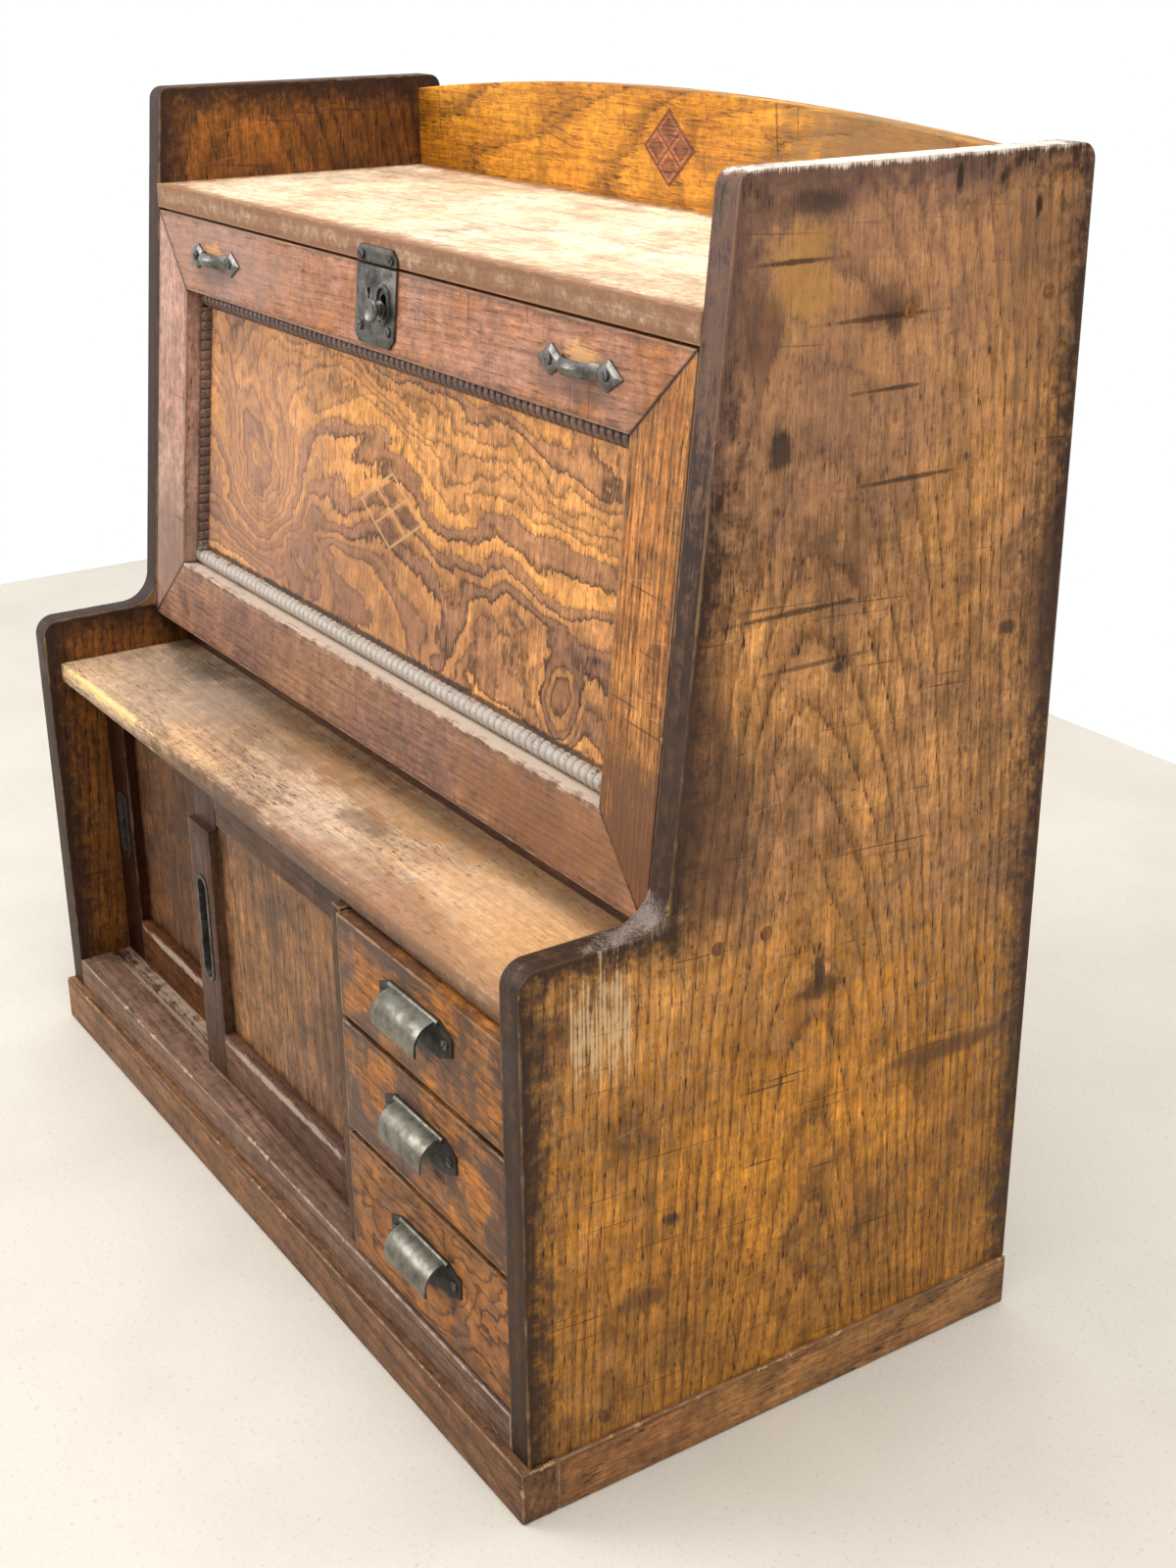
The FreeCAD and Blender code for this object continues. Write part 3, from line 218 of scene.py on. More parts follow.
def agedWood(name, look):
    look = {**woodHabits, **look}
    material, tree = newMaterial(name)
    seat = standUp.translation * mmPerMetre if look["lean"] else Vector()
    turn = leanTurn if look["lean"] else 0

    # millimetres; a leaning board is stood upright first
    flat = put(tree, "Mapping", put(tree, "TexCoord", out=3), seat, (turn, 0, 0), [mmPerMetre] * 3)
    moved = put(tree, "SeparateXYZ", put(tree, "VectorMath", flat, look["shift"], operation="ADD")).node.outputs
    fibre = put(tree, "CombineXYZ", *[moved["xyz".index(letter)] for letter in look["axes"]])

    def drawnOut(wide, long, *noise, source=fibre, out=0):
        # noise drawn out along the fibres; what follows the two sizes is its detail and roughness
        squeezed = put(tree, "VectorMath", source, (1 / wide, 1 / wide, 1 / long), operation="MULTIPLY")
        return put(tree, "TexNoise", squeezed, 1, *noise, out=out)

    def howFar(spot, reach):
        # 0 in the middle of an ellipsoid, 1 on its skin
        off = put(tree, "VectorMath", flat, spot, operation="SUBTRACT")
        return put(tree, "VectorMath", put(tree, "VectorMath", off, reach, operation="DIVIDE"), operation="LENGTH")

    # growth rings: distance from the pith, or a rolling field for burr wood
    if look["burl"]:
        across, along, span, rise = look["burl"]
        climb = put(tree, "VectorMath", flat, (0, 0, rise), operation="DOT_PRODUCT")
        field = drawnOut(across, along, 3, 0.46, 2.2, 0.4)
        radius = put(tree, "Math", field, span, climb, operation="MULTIPLY_ADD")
        for spot, reach, height in look["knots"]:
            hump = put(tree, "MapRange", howFar(spot, reach), 0, 1, height, 0, interpolation_type="SMOOTHERSTEP")
            radius = put(tree, "Math", radius, hump, operation="ADD")
    else:
        drift = drawnOut(*grainMm["drift"], 2, 0.5, out=1)
        bent = put(tree, "VectorMath", drift, (look["sway"], look["sway"], 0), fibre, operation="MULTIPLY_ADD")
        pith = (-look["pith"][0], -look["pith"][1], 0)
        tilted = put(tree, "Mapping", bent, pith, (look["slope"], 0, 0), (1, 1, 1))
        level = put(tree, "VectorMath", tilted, (1, 1, 0), operation="MULTIPLY")
        radius = put(tree, "VectorMath", level, operation="LENGTH")
    hair = drawnOut(*look["jagGrain"], 4, 0.62)
    radius = put(tree, "Math", hair, look["jagMm"], radius, operation="MULTIPLY_ADD")
    count = put(tree, "Math", radius, look["ringMm"], operation="DIVIDE")
    ring = put(tree, "Math", count, operation="FRACT")
    lot = put(tree, "TexWhiteNoise", put(tree, "Math", count, operation="FLOOR"), noise_dimensions="1D")
    early = put(tree, "MapRange", ring, 0, look["lineShare"], 1, 0)
    late = put(tree, "MapRange", ring, *noiseCut["late"])
    line = put(tree, "Math", put(tree, "Math", early, ringLine["fade"], operation="POWER"), late, operation="MAXIMUM")
    depth = put(tree, "MapRange", lot, 0, 1, ringLine["faintest"] * look["figure"], look["figure"])
    figure = put(tree, "Math", line, depth, operation="MULTIPLY")

    # open pores, fine fibre, small knocks, broad light and dark
    pore = put(tree, "MapRange", drawnOut(*grainMm["pore"], 2, 0.55), *noiseCut["pore"], 0, look["pores"])
    thinned = put(tree, "MapRange", line, 0, 1, ringLine["poresBetween"], 1)
    pore = put(tree, "Math", pore, thinned, operation="MULTIPLY")
    fine, coarse = drawnOut(*grainMm["fine"], 4, 0.62), drawnOut(*grainMm["coarse"], 4, 0.6)
    streak = put(tree, "Math", fine, coarse, operation="ADD")
    ragged = put(tree, "TexNoise", flat, 1 / spotMm["ragged"], 5, 0.65)
    knock = put(tree, "TexNoise", flat, 1 / spotMm["nick"], 4, 0.75)
    nick = put(tree, "MapRange", knock, *noiseCut["nick"], 0, look["nicks"])
    cloud = put(tree, "TexNoise", flat, 1 / look["cloudMm"], 4, 0.6)
    tint = put(tree, "MapRange", cloud, *noiseCut["tint"], interpolation_type="SMOOTHSTEP")
    zone = put(tree, "Math", lot, look["zones"], operation="MULTIPLY")
    tint = put(tree, "Math", tint, 1 - look["zones"], zone, operation="MULTIPLY_ADD")
    blot = put(tree, "TexNoise", flat, 1 / look["stainMm"], 6, 0.66, 2, 0.4)
    stain = put(tree, "MapRange", blot, *look["stainCut"], 0, look["stain"], interpolation_type="SMOOTHSTEP")

    colour = put(tree, "Mix", tint, linear(look["lightHex"]), linear(look["tintHex"]), data_type="RGBA")
    for mask, hexKey in ((figure, "darkHex"), (pore, "poreHex")):
        colour = put(tree, "Mix", mask, colour, linear(look[hexKey]), data_type="RGBA")
    shade = put(tree, "MapRange", streak, *noiseCut["streak"], evenShade - look["streaks"],
                evenShade + look["streaks"])
    for kind, swing, rough in (("patch", look["patch"], 0.6), ("dapple", look["patch"], 0.65),
                               ("speckle", look["speckle"], 0.7)):
        mottle = put(tree, "TexNoise", flat, 1 / spotMm[kind], 3, rough)
        change = put(tree, "MapRange", mottle, *noiseCut[kind], 1 - swing, 1 + swing)
        shade = put(tree, "Math", shade, change, operation="MULTIPLY")
    colour = put(tree, "Mix", 1.0, colour, shade, data_type="RGBA", blend_type="MULTIPLY")
    spoilt = put(tree, "Math", stain, nick, operation="MAXIMUM")
    colour = put(tree, "Mix", spoilt, colour, linear(look["stainHex"]), data_type="RGBA")

    # geometric inlay let into the face: a frame line, a cross and four cells
    if look["lozenge"]:
        middle, halfWide, halfHigh, lineHex, cellHex = look["lozenge"]
        off = put(tree, "VectorMath", flat, middle, operation="SUBTRACT")
        slants = [put(tree, "VectorMath", off, (1 / halfWide, 0, way / halfHigh), operation="DOT_PRODUCT")
                  for way in (1, -1)]
        slants = [put(tree, "Math", slant, operation="ABSOLUTE") for slant in slants]
        outer = put(tree, "Math", *slants, operation="MAXIMUM")
        inner = put(tree, "Math", *slants, operation="MINIMUM")
        inside = put(tree, "MapRange", outer, *inlayCut["cellOut"])
        cell = put(tree, "Math", put(tree, "MapRange", inner, *inlayCut["cellIn"]), inside, operation="MULTIPLY")
        cell = put(tree, "Math", cell, put(tree, "MapRange", ragged, *noiseCut["cell"]), operation="MULTIPLY")
        frameLine = put(tree, "Math", outer, inlayCut["frame"], operation="SUBTRACT")
        frameLine = put(tree, "Math", frameLine, operation="ABSOLUTE")
        frameLine = put(tree, "MapRange", frameLine, *inlayCut["frameLine"])
        within = put(tree, "MapRange", outer, *inlayCut["crossEnd"])
        cross = put(tree, "Math", put(tree, "MapRange", inner, *inlayCut["crossLine"]), within, operation="MULTIPLY")
        lines = put(tree, "Math", frameLine, cross, operation="MAXIMUM")
        deep = put(tree, "VectorMath", off, (0, 1, 0), operation="DOT_PRODUCT")
        onFace = put(tree, "MapRange", put(tree, "Math", deep, operation="ABSOLUTE"), *inlayCut["deepMm"])
        for mask, hexCode in ((cell, cellHex), (lines, lineHex)):
            mask = put(tree, "Math", mask, onFace, operation="MULTIPLY")
            colour = put(tree, "Mix", mask, colour, linear(hexCode), data_type="RGBA")

    # scuffs, mostly across the grain: turn from the fibres, colour, strength
    scuffed = None
    for n, (angle, hexCode, strength) in enumerate(look["scuffs"]):
        turned = put(tree, "Mapping", fibre, [n * step for step in scuffApart], (0, angle, 0), (1, 1, 1))
        thin = drawnOut(*grainMm["scuff"], 1.5, 0.5, source=turned)
        cutLine = put(tree, "MapRange", thin, *noiseCut["scuff"], 0, strength)
        colour = put(tree, "Mix", cutLine, colour, linear(hexCode), data_type="RGBA")
        scuffed = cutLine if scuffed is None else put(tree, "Math", scuffed, cutLine, operation="MAXIMUM")

    # wear along the arrises, from the distance to the board's own edges
    chip = None
    if look["limits"] or look["profile"]:
        if look["profile"]:
            side = look["profile"]
            x, y, z = put(tree, "SeparateXYZ", flat).node.outputs
            thick = put(tree, "Math", put(tree, "Math", x, operation="ABSOLUTE"), side["middle"],
                        operation="SUBTRACT")
            thick = put(tree, "Math", thick, operation="ABSOLUTE")
            thick = put(tree, "Math", side["half"], thick, operation="SUBTRACT")
            lean = put(tree, "VectorMath", flat, side["leanNormal"], operation="DOT_PRODUCT")
            lean = put(tree, "Math", lean, side["leanStart"], operation="SUBTRACT")
            ahead = put(tree, "Math", y, side["front"], operation="SUBTRACT")
            below, under, behind = [put(tree, "Math", side[key], where, operation="SUBTRACT")
                                    for key, where in (("cheek", z), ("top", z), ("rear", y))]
            outline = put(tree, "Math", lean, put(tree, "Math", ahead, below, operation="MINIMUM"),
                          operation="MAXIMUM")
            # a dark band just inside the front edges
            frontEdgeDark = put(tree, "MapRange", outline, *side["darkMm"], side["edgeDark"], 0)
            colour = put(tree, "Mix", frontEdgeDark, colour, linear(look["grimeAndShadeHex"]), data_type="RGBA")
            for gap in (under, behind):
                outline = put(tree, "Math", outline, gap, operation="MINIMUM")
            rim = put(tree, "Math", thick, outline, operation="MAXIMUM")
        else:
            low, high = look["limits"]
            off = put(tree, "VectorMath", flat, (low + high) / 2, operation="SUBTRACT")
            off = put(tree, "VectorMath", off, operation="ABSOLUTE")
            half = (high - low) / 2
            if look["twin"]:           # two like pieces, each side of the middle
                off = put(tree, "VectorMath", off, (half.x - look["twin"], 0, 0), operation="SUBTRACT")
                off = put(tree, "VectorMath", off, operation="ABSOLUTE")
                half = Vector((look["twin"], half.y, half.z))
            gaps = put(tree, "SeparateXYZ", put(tree, "VectorMath", half, off, operation="SUBTRACT")).node.outputs
            nearer = put(tree, "Math", gaps[0], gaps[1], operation="MINIMUM")
            further = put(tree, "Math", gaps[0], gaps[1], operation="MAXIMUM")
            further = put(tree, "Math", further, gaps[2], operation="MINIMUM")
            rim = put(tree, "Math", nearer, further, operation="MAXIMUM")
        rough = put(tree, "Math", ragged, 0.5, operation="SUBTRACT")
        # a dark band along the edges: grime, and on the door panels painted shade along the frames
        uneven = put(tree, "Math", rough, look["edgeMm"] * rimWear["grimeAndShadeFray"], rim, operation="MULTIPLY_ADD")
        grimeAndShade = put(tree, "MapRange", uneven, 0, look["edgeMm"], look["grimeAndShade"], 0, interpolation_type="SMOOTHSTEP")
        broken = put(tree, "Math", rough, rimWear["rubFrayMm"], rim, operation="MULTIPLY_ADD")
        rubbed = put(tree, "MapRange", broken, 0, rimWear["rubMm"], look["arris"], 0)
        rubbed = put(tree, "Math", rubbed, put(tree, "MapRange", cloud, *noiseCut["rubbed"]), operation="MULTIPLY")
        place = put(tree, "TexNoise", flat, 1 / spotMm["chip"], 6, 0.72)
        chipFull = look["chipCut"] + rimWear["chipSpread"]
        reach = put(tree, "MapRange", place, look["chipCut"], chipFull, 0, look["chipMm"])
        chip = put(tree, "Math", reach, rim, operation="SUBTRACT")
        chip = put(tree, "MapRange", chip, 0, rimWear["chipFadeMm"], 0, 1)
        bare = put(tree, "Math", chip, rimWear["chipShare"], operation="MULTIPLY")
        for mask, hexKey in ((grimeAndShade, "grimeAndShadeHex"), (rubbed, "arrisHex"), (bare, "chipHex")):
            colour = put(tree, "Mix", mask, colour, linear(look[hexKey]), data_type="RGBA")

    # dirt in the mitred corners of a frame
    if look["mitre"]:
        halfWide, tall = look["mitre"]
        x, _, z = put(tree, "SeparateXYZ", flat).node.outputs
        inward = put(tree, "Math", halfWide, put(tree, "Math", x, operation="ABSOLUTE"), operation="SUBTRACT")
        level = put(tree, "Math", z, put(tree, "Math", tall, z, operation="SUBTRACT"), operation="MINIMUM")
        joint = put(tree, "Math", put(tree, "Math", inward, level, operation="SUBTRACT"), operation="ABSOLUTE")
        seam = put(tree, "Math", ragged, seamDirt["frayMm"], joint, operation="MULTIPLY_ADD")
        seam = put(tree, "MapRange", seam, *seamDirt["reachMm"], seamDirt["strength"], 0)
        colour = put(tree, "Mix", seam, colour, linear(look["grimeAndShadeHex"]), data_type="RGBA")

    # single marks: scrapes, ink spots, faded or bleached places, and some painted shadow, light and sheen
    for spot, reach, hexCode, strength, *blend in look["marks"]:
        frayed = put(tree, "Math", ragged, fine, operation="ADD")
        far = put(tree, "Math", howFar(spot, reach), markFray, operation="ADD")
        far = put(tree, "Math", frayed, -markFray, far, operation="MULTIPLY_ADD")
        mask = put(tree, "MapRange", far, *noiseCut["mark"], strength, 0, interpolation_type="SMOOTHSTEP")
        blend = blend[0] if blend else "MIX"
        colour = put(tree, "Mix", mask, colour, linear(hexCode), data_type="RGBA", blend_type=blend)

    height = put(tree, "Math", put(tree, "Math", pore, line, operation="ADD"), relief["grain"], operation="MULTIPLY")
    for kind, dent in (("streak", streak), ("scuff", scuffed), ("nick", nick), ("ragged", ragged), ("chip", chip)):
        if dent:
            height = put(tree, "Math", dent, relief[kind], height, operation="MULTIPLY_ADD")
    bump = put(tree, "Bump", named={"Strength": look["bump"], "Distance": relief["metres"], "Height": height})
    worn = put(tree, "Math", ragged, stain, operation="SUBTRACT")
    worn = put(tree, "MapRange", worn, *noiseCut["worn"], *look["rough"])
    shader = put(tree, "BsdfPrincipled", named={"Base Color": colour, "Roughness": worn, "Normal": bump,
                                                "Specular IOR Level": look["gloss"]})
    put(tree, "OutputMaterial", shader)
    return material


# aged iron and tarnished sheet: dull grey metal, patches of brown bloom, spots of rust and fine pits
metalHabits = {"bloomMm": 9, "pitMm": 1.4, "rustMm": 4, "tarnishCut": (0.4, 0.66), "rustCut": (0.6, 0.74),
               "shineCut": (0.3, 0.7), "bumpMetres": 0.0004, "rustMetallic": 0.2}


def agedMetal(name, look):
    look = {**metalHabits, **look}
    material, tree = newMaterial(name)
    flat = put(tree, "Mapping", put(tree, "TexCoord", out=3), (0, 0, 0), (0, 0, 0), [mmPerMetre] * 3)
    bloom = put(tree, "TexNoise", flat, 1 / look["bloomMm"], 6, 0.65)
    pits = put(tree, "TexNoise", flat, 1 / look["pitMm"], 4, 0.6)
    tarnish = put(tree, "MapRange", bloom, *look["tarnishCut"], 0, look["tarnish"], interpolation_type="SMOOTHSTEP")
    rust = put(tree, "TexNoise", flat, 1 / look["rustMm"], 5, 0.7)
    rust = put(tree, "MapRange", rust, *look["rustCut"], 0, look["rust"])
    colour = put(tree, "Mix", tarnish, linear(look["metalHex"]), linear(look["tarnishHex"]), data_type="RGBA")
    colour = put(tree, "Mix", rust, colour, linear(look["rustHex"]), data_type="RGBA")
    shine = put(tree, "MapRange", bloom, *look["shineCut"], *look["rough"])
    height = put(tree, "Math", pits, bloom, operation="ADD")
    bump = put(tree, "Bump", named={"Strength": look["bump"], "Distance": look["bumpMetres"], "Height": height})
    metallic = put(tree, "MapRange", rust, 0, 1, look["metallic"], look["rustMetallic"])
    shader = put(tree, "BsdfPrincipled", named={"Base Color": colour, "Metallic": metallic, "Roughness": shine,
                                                "Normal": bump})
    put(tree, "OutputMaterial", shader)
    return material


# boards: each is the CAD board's own shape with its edges rounded by wear
wear = {"weld": 0.00002, "flatDegrees": 0.6, "profile": 0.6, "smoothDegrees": 40}


def spanOf(points):
    return [Vector([pick(p[i] for p in points) for i in range(3)]) for pick in (min, max)]


def nodeLimits(node, lean=False):
    return spanOf([(standUp @ v.co if lean else v.co) * mmPerMetre for v in frame["nodes"][node].data.vertices])


def copyNode(node, name):
    bpy.ops.object.select_all(action="DESELECT")
    piece = bpy.data.objects.new(name, frame["nodes"][node].data.copy())
    bpy.context.scene.collection.objects.link(piece)
    piece.data.materials.clear()
    bpy.context.view_layer.objects.active = piece
    piece.select_set(True)
    bpy.ops.mesh.customdata_custom_splitnormals_clear()
    bpy.ops.object.mode_set(mode="EDIT")
    bpy.ops.mesh.select_all(action="SELECT")
    bpy.ops.mesh.remove_doubles(threshold=wear["weld"])
    bpy.ops.mesh.dissolve_limited(angle_limit=math.radians(wear["flatDegrees"]))
    bpy.ops.object.mode_set(mode="OBJECT")
    return piece


def softenEdges(piece, widthMm, segments, sharp=28):
    bpy.ops.object.mode_set(mode="EDIT")
    bpy.ops.mesh.select_mode(type="EDGE")
    bpy.ops.mesh.select_all(action="DESELECT")
    bpy.ops.mesh.edges_select_sharp(sharpness=math.radians(sharp))
    bpy.ops.mesh.bevel(offset=widthMm / mmPerMetre, segments=segments, profile=wear["profile"], clamp_overlap=True)
    bpy.ops.mesh.select_all(action="SELECT")
    bpy.ops.object.mode_set(mode="OBJECT")
    bpy.ops.object.shade_smooth_by_angle(angle=math.radians(wear["smoothDegrees"]))


def bodyOf(node):
    return next(body for body, empty in frame["bodies"].items() if frame["nodes"][node].parent is empty)


def seatPiece(piece, node, material):
    piece.data.materials.append(material)
    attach(piece, bodyOf(node))
    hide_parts(node)


def makeBoard(node, look, material=None, arrisMm=1.0, segments=3):
    piece = copyNode(node, node + "_worn")
    softenEdges(piece, arrisMm, segments)
    if material is None:
        edges = {} if look.get("profile") else {"limits": nodeLimits(node, look.get("lean", False))}
        material = agedWood(look.get("wood", woodHabits["wood"]) + "_" + node, {**edges, **look})
    seatPiece(piece, node, material)
    return piece


# the two sides: upright boards with a dark front edge
sideProfile = {"middle": 292, "half": 8, "front": -147.8, "cheek": 293.5, "top": 616.5, "rear": 159.2,
               "leanNormal": (0, math.cos(leanTurn), -math.sin(leanTurn)), "leanStart": -98.8,
               "edgeDark": 0.6, "darkMm": (0.5, 5)}
rightSide = {"axes": "yxz", "shift": (0, 0, 40), "lightHex": "#b47e44", "tintHex": "#936843", "darkHex": "#5a3718",
             "ringMm": 5.5, "pith": (25, 283), "slope": -0.125, "sway": 20, "lineShare": 0.42, "figure": 0.8,
             "pores": 1.0, "nicks": 0.9, "streaks": 0.45, "patch": 0.24, "stain": 0.6, "stainMm": 60,
             "edgeMm": 26, "grimeAndShade": 0.95, "grimeAndShadeHex": "#2a170e", "chipMm": 1.5, "chipHex": "#b98a58",
             "profile": sideProfile}
# knots, cracks, holes and stains on the outer face: y and z, half sizes, colour, strength
sideMarks = [(-48, 345, 26, 85, "#472d20", 0.65), (-3, 574, 24, 26, "#b98540", 0.55),
             (-24, 552, 12, 26, "#4f3428", 0.6), (131, 553, 30, 60, "#5c4030", 0.45),
             (151, 400, 12, 60, "#3f2a1e", 0.6), (44, 556, 20, 12, "#4a2e20", 0.55),
             (48, 551, 9, 9, "#3a2418", 0.6), (-14, 501, 9, 15, "#231c1a", 0.85),
             (12, 440, 6, 30, "#4f3322", 0.5), (30, 447, 5, 36, "#573825", 0.45),
             (-6, 579, 30, 1.6, "#2b1a12", 0.8), (40, 552, 42, 1.6, "#2b1a12", 0.7),
             (44, 521, 24, 1.5, "#2b1a12", 0.75), (58, 480, 38, 1.6, "#2b1a12", 0.75),
             (-4, 429, 50, 1.6, "#2b1a12", 0.75), (10, 403, 40, 1.6, "#2b1a12", 0.6),
             (23, 399, 5, 4, "#1e1410", 0.85), (127, 398, 7, 5, "#241711", 0.8),
             (19, 239, 18, 9, "#3a2516", 0.75), (19, 248, 5, 12, "#231814", 0.8),
             (-83, 101, 20, 9, "#3d2718", 0.65), (-66, 139, 7, 5, "#231814", 0.8),
             (105, 178, 62, 7, "#4a2f1a", 0.7), (-78, 150, 4, 60, "#5c3d20", 0.4),
             (127, 592, 3, 6, "#140d0a", 0.9), (79, 607, 2.5, 8, "#1a110c", 0.85),
             (4, 602, 22, 7, "#2a1f1c", 0.7)]
outerFace, markDepth = 300, 30
rightSide["marks"] = [((outerFace, 10, 80), (60, 260, 220), "#f2e49a", 1.0, "MULTIPLY"),     # yellower below
                      ((outerFace, 20, 570), (40, 160, 130), "#9a7260", 0.36),               # greyer above
                      *[((outerFace, y, z), (markDepth, wide, high), hexCode, strength)
                        for y, z, wide, high, hexCode, strength in sideMarks],
                      ((292, -88, 299), (13, 34, 9), "#95857a", 0.7),                        # dust in the hollow
                      ((292, 60, 617.5), (18, 160, 3.5), "#ecdfce", 0.9)]                    # pale top edge: painted light from above
# a scrape like bristles under the cheek: half sizes of a stroke, and what the strokes differ by
scrape = {"strokes": 15, "y": -121, "apart": 2.2, "z": 262, "drop": 5, "wide": (0.8, 0.3), "high": (22, 4),
          "hex": "#d8b88e", "strength": 0.65}
for n in range(scrape["strokes"]):
    (wide, wider), (high, higher) = scrape["wide"], scrape["high"]
    place = (outerFace, scrape["y"] + scrape["apart"] * n, scrape["z"] - scrape["drop"] * (n * 3 % 4))
    size = (markDepth, wide + wider * (n % 3), high + higher * (n * 5 % 4))
    rightSide["marks"].append((place, size, scrape["hex"], scrape["strength"]))
# the left side is darker than the right as painted shade: its inner face lies in the shaded bay
leftSide = {**rightSide, "shift": (300, 0, 90), "pith": (25, -15), "lightHex": "#7e4c19", "tintHex": "#5f3813",
            "darkHex": "#2c1808", "marks": []}
makeBoard("right_side", rightSide, arrisMm=1.6)
makeBoard("left_side", leftSide, arrisMm=1.6)
print("sides done")

# the boards between the sides; the top is bleached and its front edge rubbed back to orange-brown
topLow = nodeLimits("top_board")[0]
topBoard = {"wood": "bleached_ash", "axes": "yzx", "shift": (0, 0, 15), "lightHex": "#ebcfae", "tintHex": "#d5b28e",
            "darkHex": "#a08474", "poreHex": "#8a6c58", "ringMm": 11, "pith": (-40, 30), "slope": 0.05,
            "figure": 0.45, "pores": 0.45, "streaks": 0.3, "cloudMm": 90, "stain": 0.45, "stainHex": "#8d7468",
            "scuffs": [(0.2, "#f6e6c8", 0.4)], "edgeMm": 15, "grimeAndShade": 0.9, "grimeAndShadeHex": "#8f5f3e", "chipMm": 1.4,
            "chipHex": "#d8ad7c", "chipCut": 0.58, "arrisHex": "#c79c74", "rough": (0.6, 0.85),
            "marks": [((0, topLow.y, topLow.z + 5), (700, 9, 14), "#7d5a45", 0.42)]}
makeBoard("top_board", topBoard, arrisMm=2.2, segments=4)
gallery = {"wood": "shellacked_ash", "shift": (40, 0, 0), "lightHex": "#d69228", "tintHex": "#be7c20",
           "darkHex": "#6e400e", "poreHex": "#5a3410", "ringMm": 9, "pith": (590, 26), "slope": 0.09, "sway": 34,
           "figure": 0.7, "stain": 0.3, "edgeMm": 4, "grimeAndShade": 0.5, "chipMm": 1.0,
           "marks": [((185, 142, 585), (110, 20, 70), "#8a6a44", 0.8)]}
makeBoard("gallery_back", gallery, arrisMm=1.2)
galleryInlay = {"wood": "inlaid_rosewood", "lightHex": "#c47e50", "tintHex": "#a4643e", "darkHex": "#5a3220",
                "ringMm": 3, "figure": 0.4, "edgeMm": 1, "grimeAndShade": 0.3, "chipMm": 0.1, "scuffs": [],
                "lozenge": ((0, 142.2, 591.75), 24, 21, "#5a3220", "#4f2c1a")}
makeBoard("gallery_inlay", galleryInlay, arrisMm=0.15, segments=1)
shelfLow = nodeLimits("step_shelf")[0]
stepShelf = {"wood": "bleached_ash", "axes": "yzx", "shift": (0, 0, 300), "lightHex": "#c6a98e", "tintHex": "#bb9670",
             "darkHex": "#6a4e3c", "poreHex": "#4a3626", "ringMm": 8, "pith": (-60, 20), "slope": 0.05,
             "figure": 0.55, "stain": 0.6, "stainHex": "#5c4a3e", "stainMm": 38, "cloudMm": 140, "patch": 0.1,
             "pores": 1.0, "nicks": 0.8, "scuffs": [(0.25, "#e6d0ae", 0.5), (1.5, "#4a382c", 0.5)], "edgeMm": 5,
             "grimeAndShade": 0.5, "grimeAndShadeHex": "#80604a", "chipMm": 4.0, "chipHex": "#e6c592", "chipCut": 0.52,
             "arrisHex": "#d8b88c", "rough": (0.55, 0.8),
             "marks": [((80, shelfLow.y, shelfLow.z + 3), (330, 5, 15), "#5a4234", 0.85),     # brown front edge
                       ((-205, -139, 264), (80, 4, 6), "#f1d08c", 0.9),                       # yellow left on the arris
                       ((215, -60, 265), (150, 120, 12), "#d9a266", 0.5),
                       ((-120, -75, 265), (190, 34, 9), "#77604f", 0.6),
                       ((60, -95, 265), (30, 14, 9), "#5b463a", 0.6),
                       ((30, -70, 265), (150, 26, 9), "#9c6a34", 0.55),
                       ((150, -139, 265), (170, 30, 9), "#8c6248", 0.6),
                       ((-190, -100, 265), (110, 40, 9), "#93806f", 0.45),
                       ((-215, -68, 265), (40, 14, 9), "#54473d", 0.6)]}
makeBoard("step_shelf", stepShelf, arrisMm=2.4, segments=4)
sill = {"wood": "dusty_ash", "axes": "yzx", "shift": (0, 0, 80), "lightHex": "#876753", "tintHex": "#6f5342",
        "darkHex": "#432f24", "poreHex": "#38271e", "ringMm": 5, "pores": 0.5, "edgeMm": 3, "grimeAndShade": 0.3,
        "arris": 0.75, "arrisHex": "#c8ac98", "chipMm": 3.5, "chipHex": "#c2a58e", "chipCut": 0.53,
        "rough": (0.55, 0.8)}
makeBoard("sill", sill, arrisMm=1.2)
plinth = {"lightHex": "#855b38", "tintHex": "#6e4a30", "darkHex": "#40281a", "ringMm": 5, "pith": (-30, 20),
          "edgeMm": 5, "grimeAndShade": 0.4, "chipMm": 3.0, "chipHex": "#c09668", "chipCut": 0.52, "stain": 0.5,
          "arris": 0.6, "arrisHex": "#b8916a"}
makeBoard("plinth_front", plinth, arrisMm=1.6)
for board in ("plinth_left", "plinth_right"):
    makeBoard(board, {**plinth, "axes": "zxy", "lightHex": "#9a6c3c", "tintHex": "#825632"}, arrisMm=1.6)
plainInside = {"wood": "plain_cedar", "lightHex": "#8b6238", "tintHex": "#75502e", "darkHex": "#543720",
               "figure": 0.5, "edgeMm": 3, "grimeAndShade": 0.3, "chipMm": 0.8}
# dust lies pale in the open track before the left door
dustyTrack = {"door_guides": [((-174, -112, 47), (150, 14, 6), "#c4a890", 0.8)],
              "bottom_board": [((-174, -123, 46), (150, 7, 3), "#c4a890", 0.8)]}
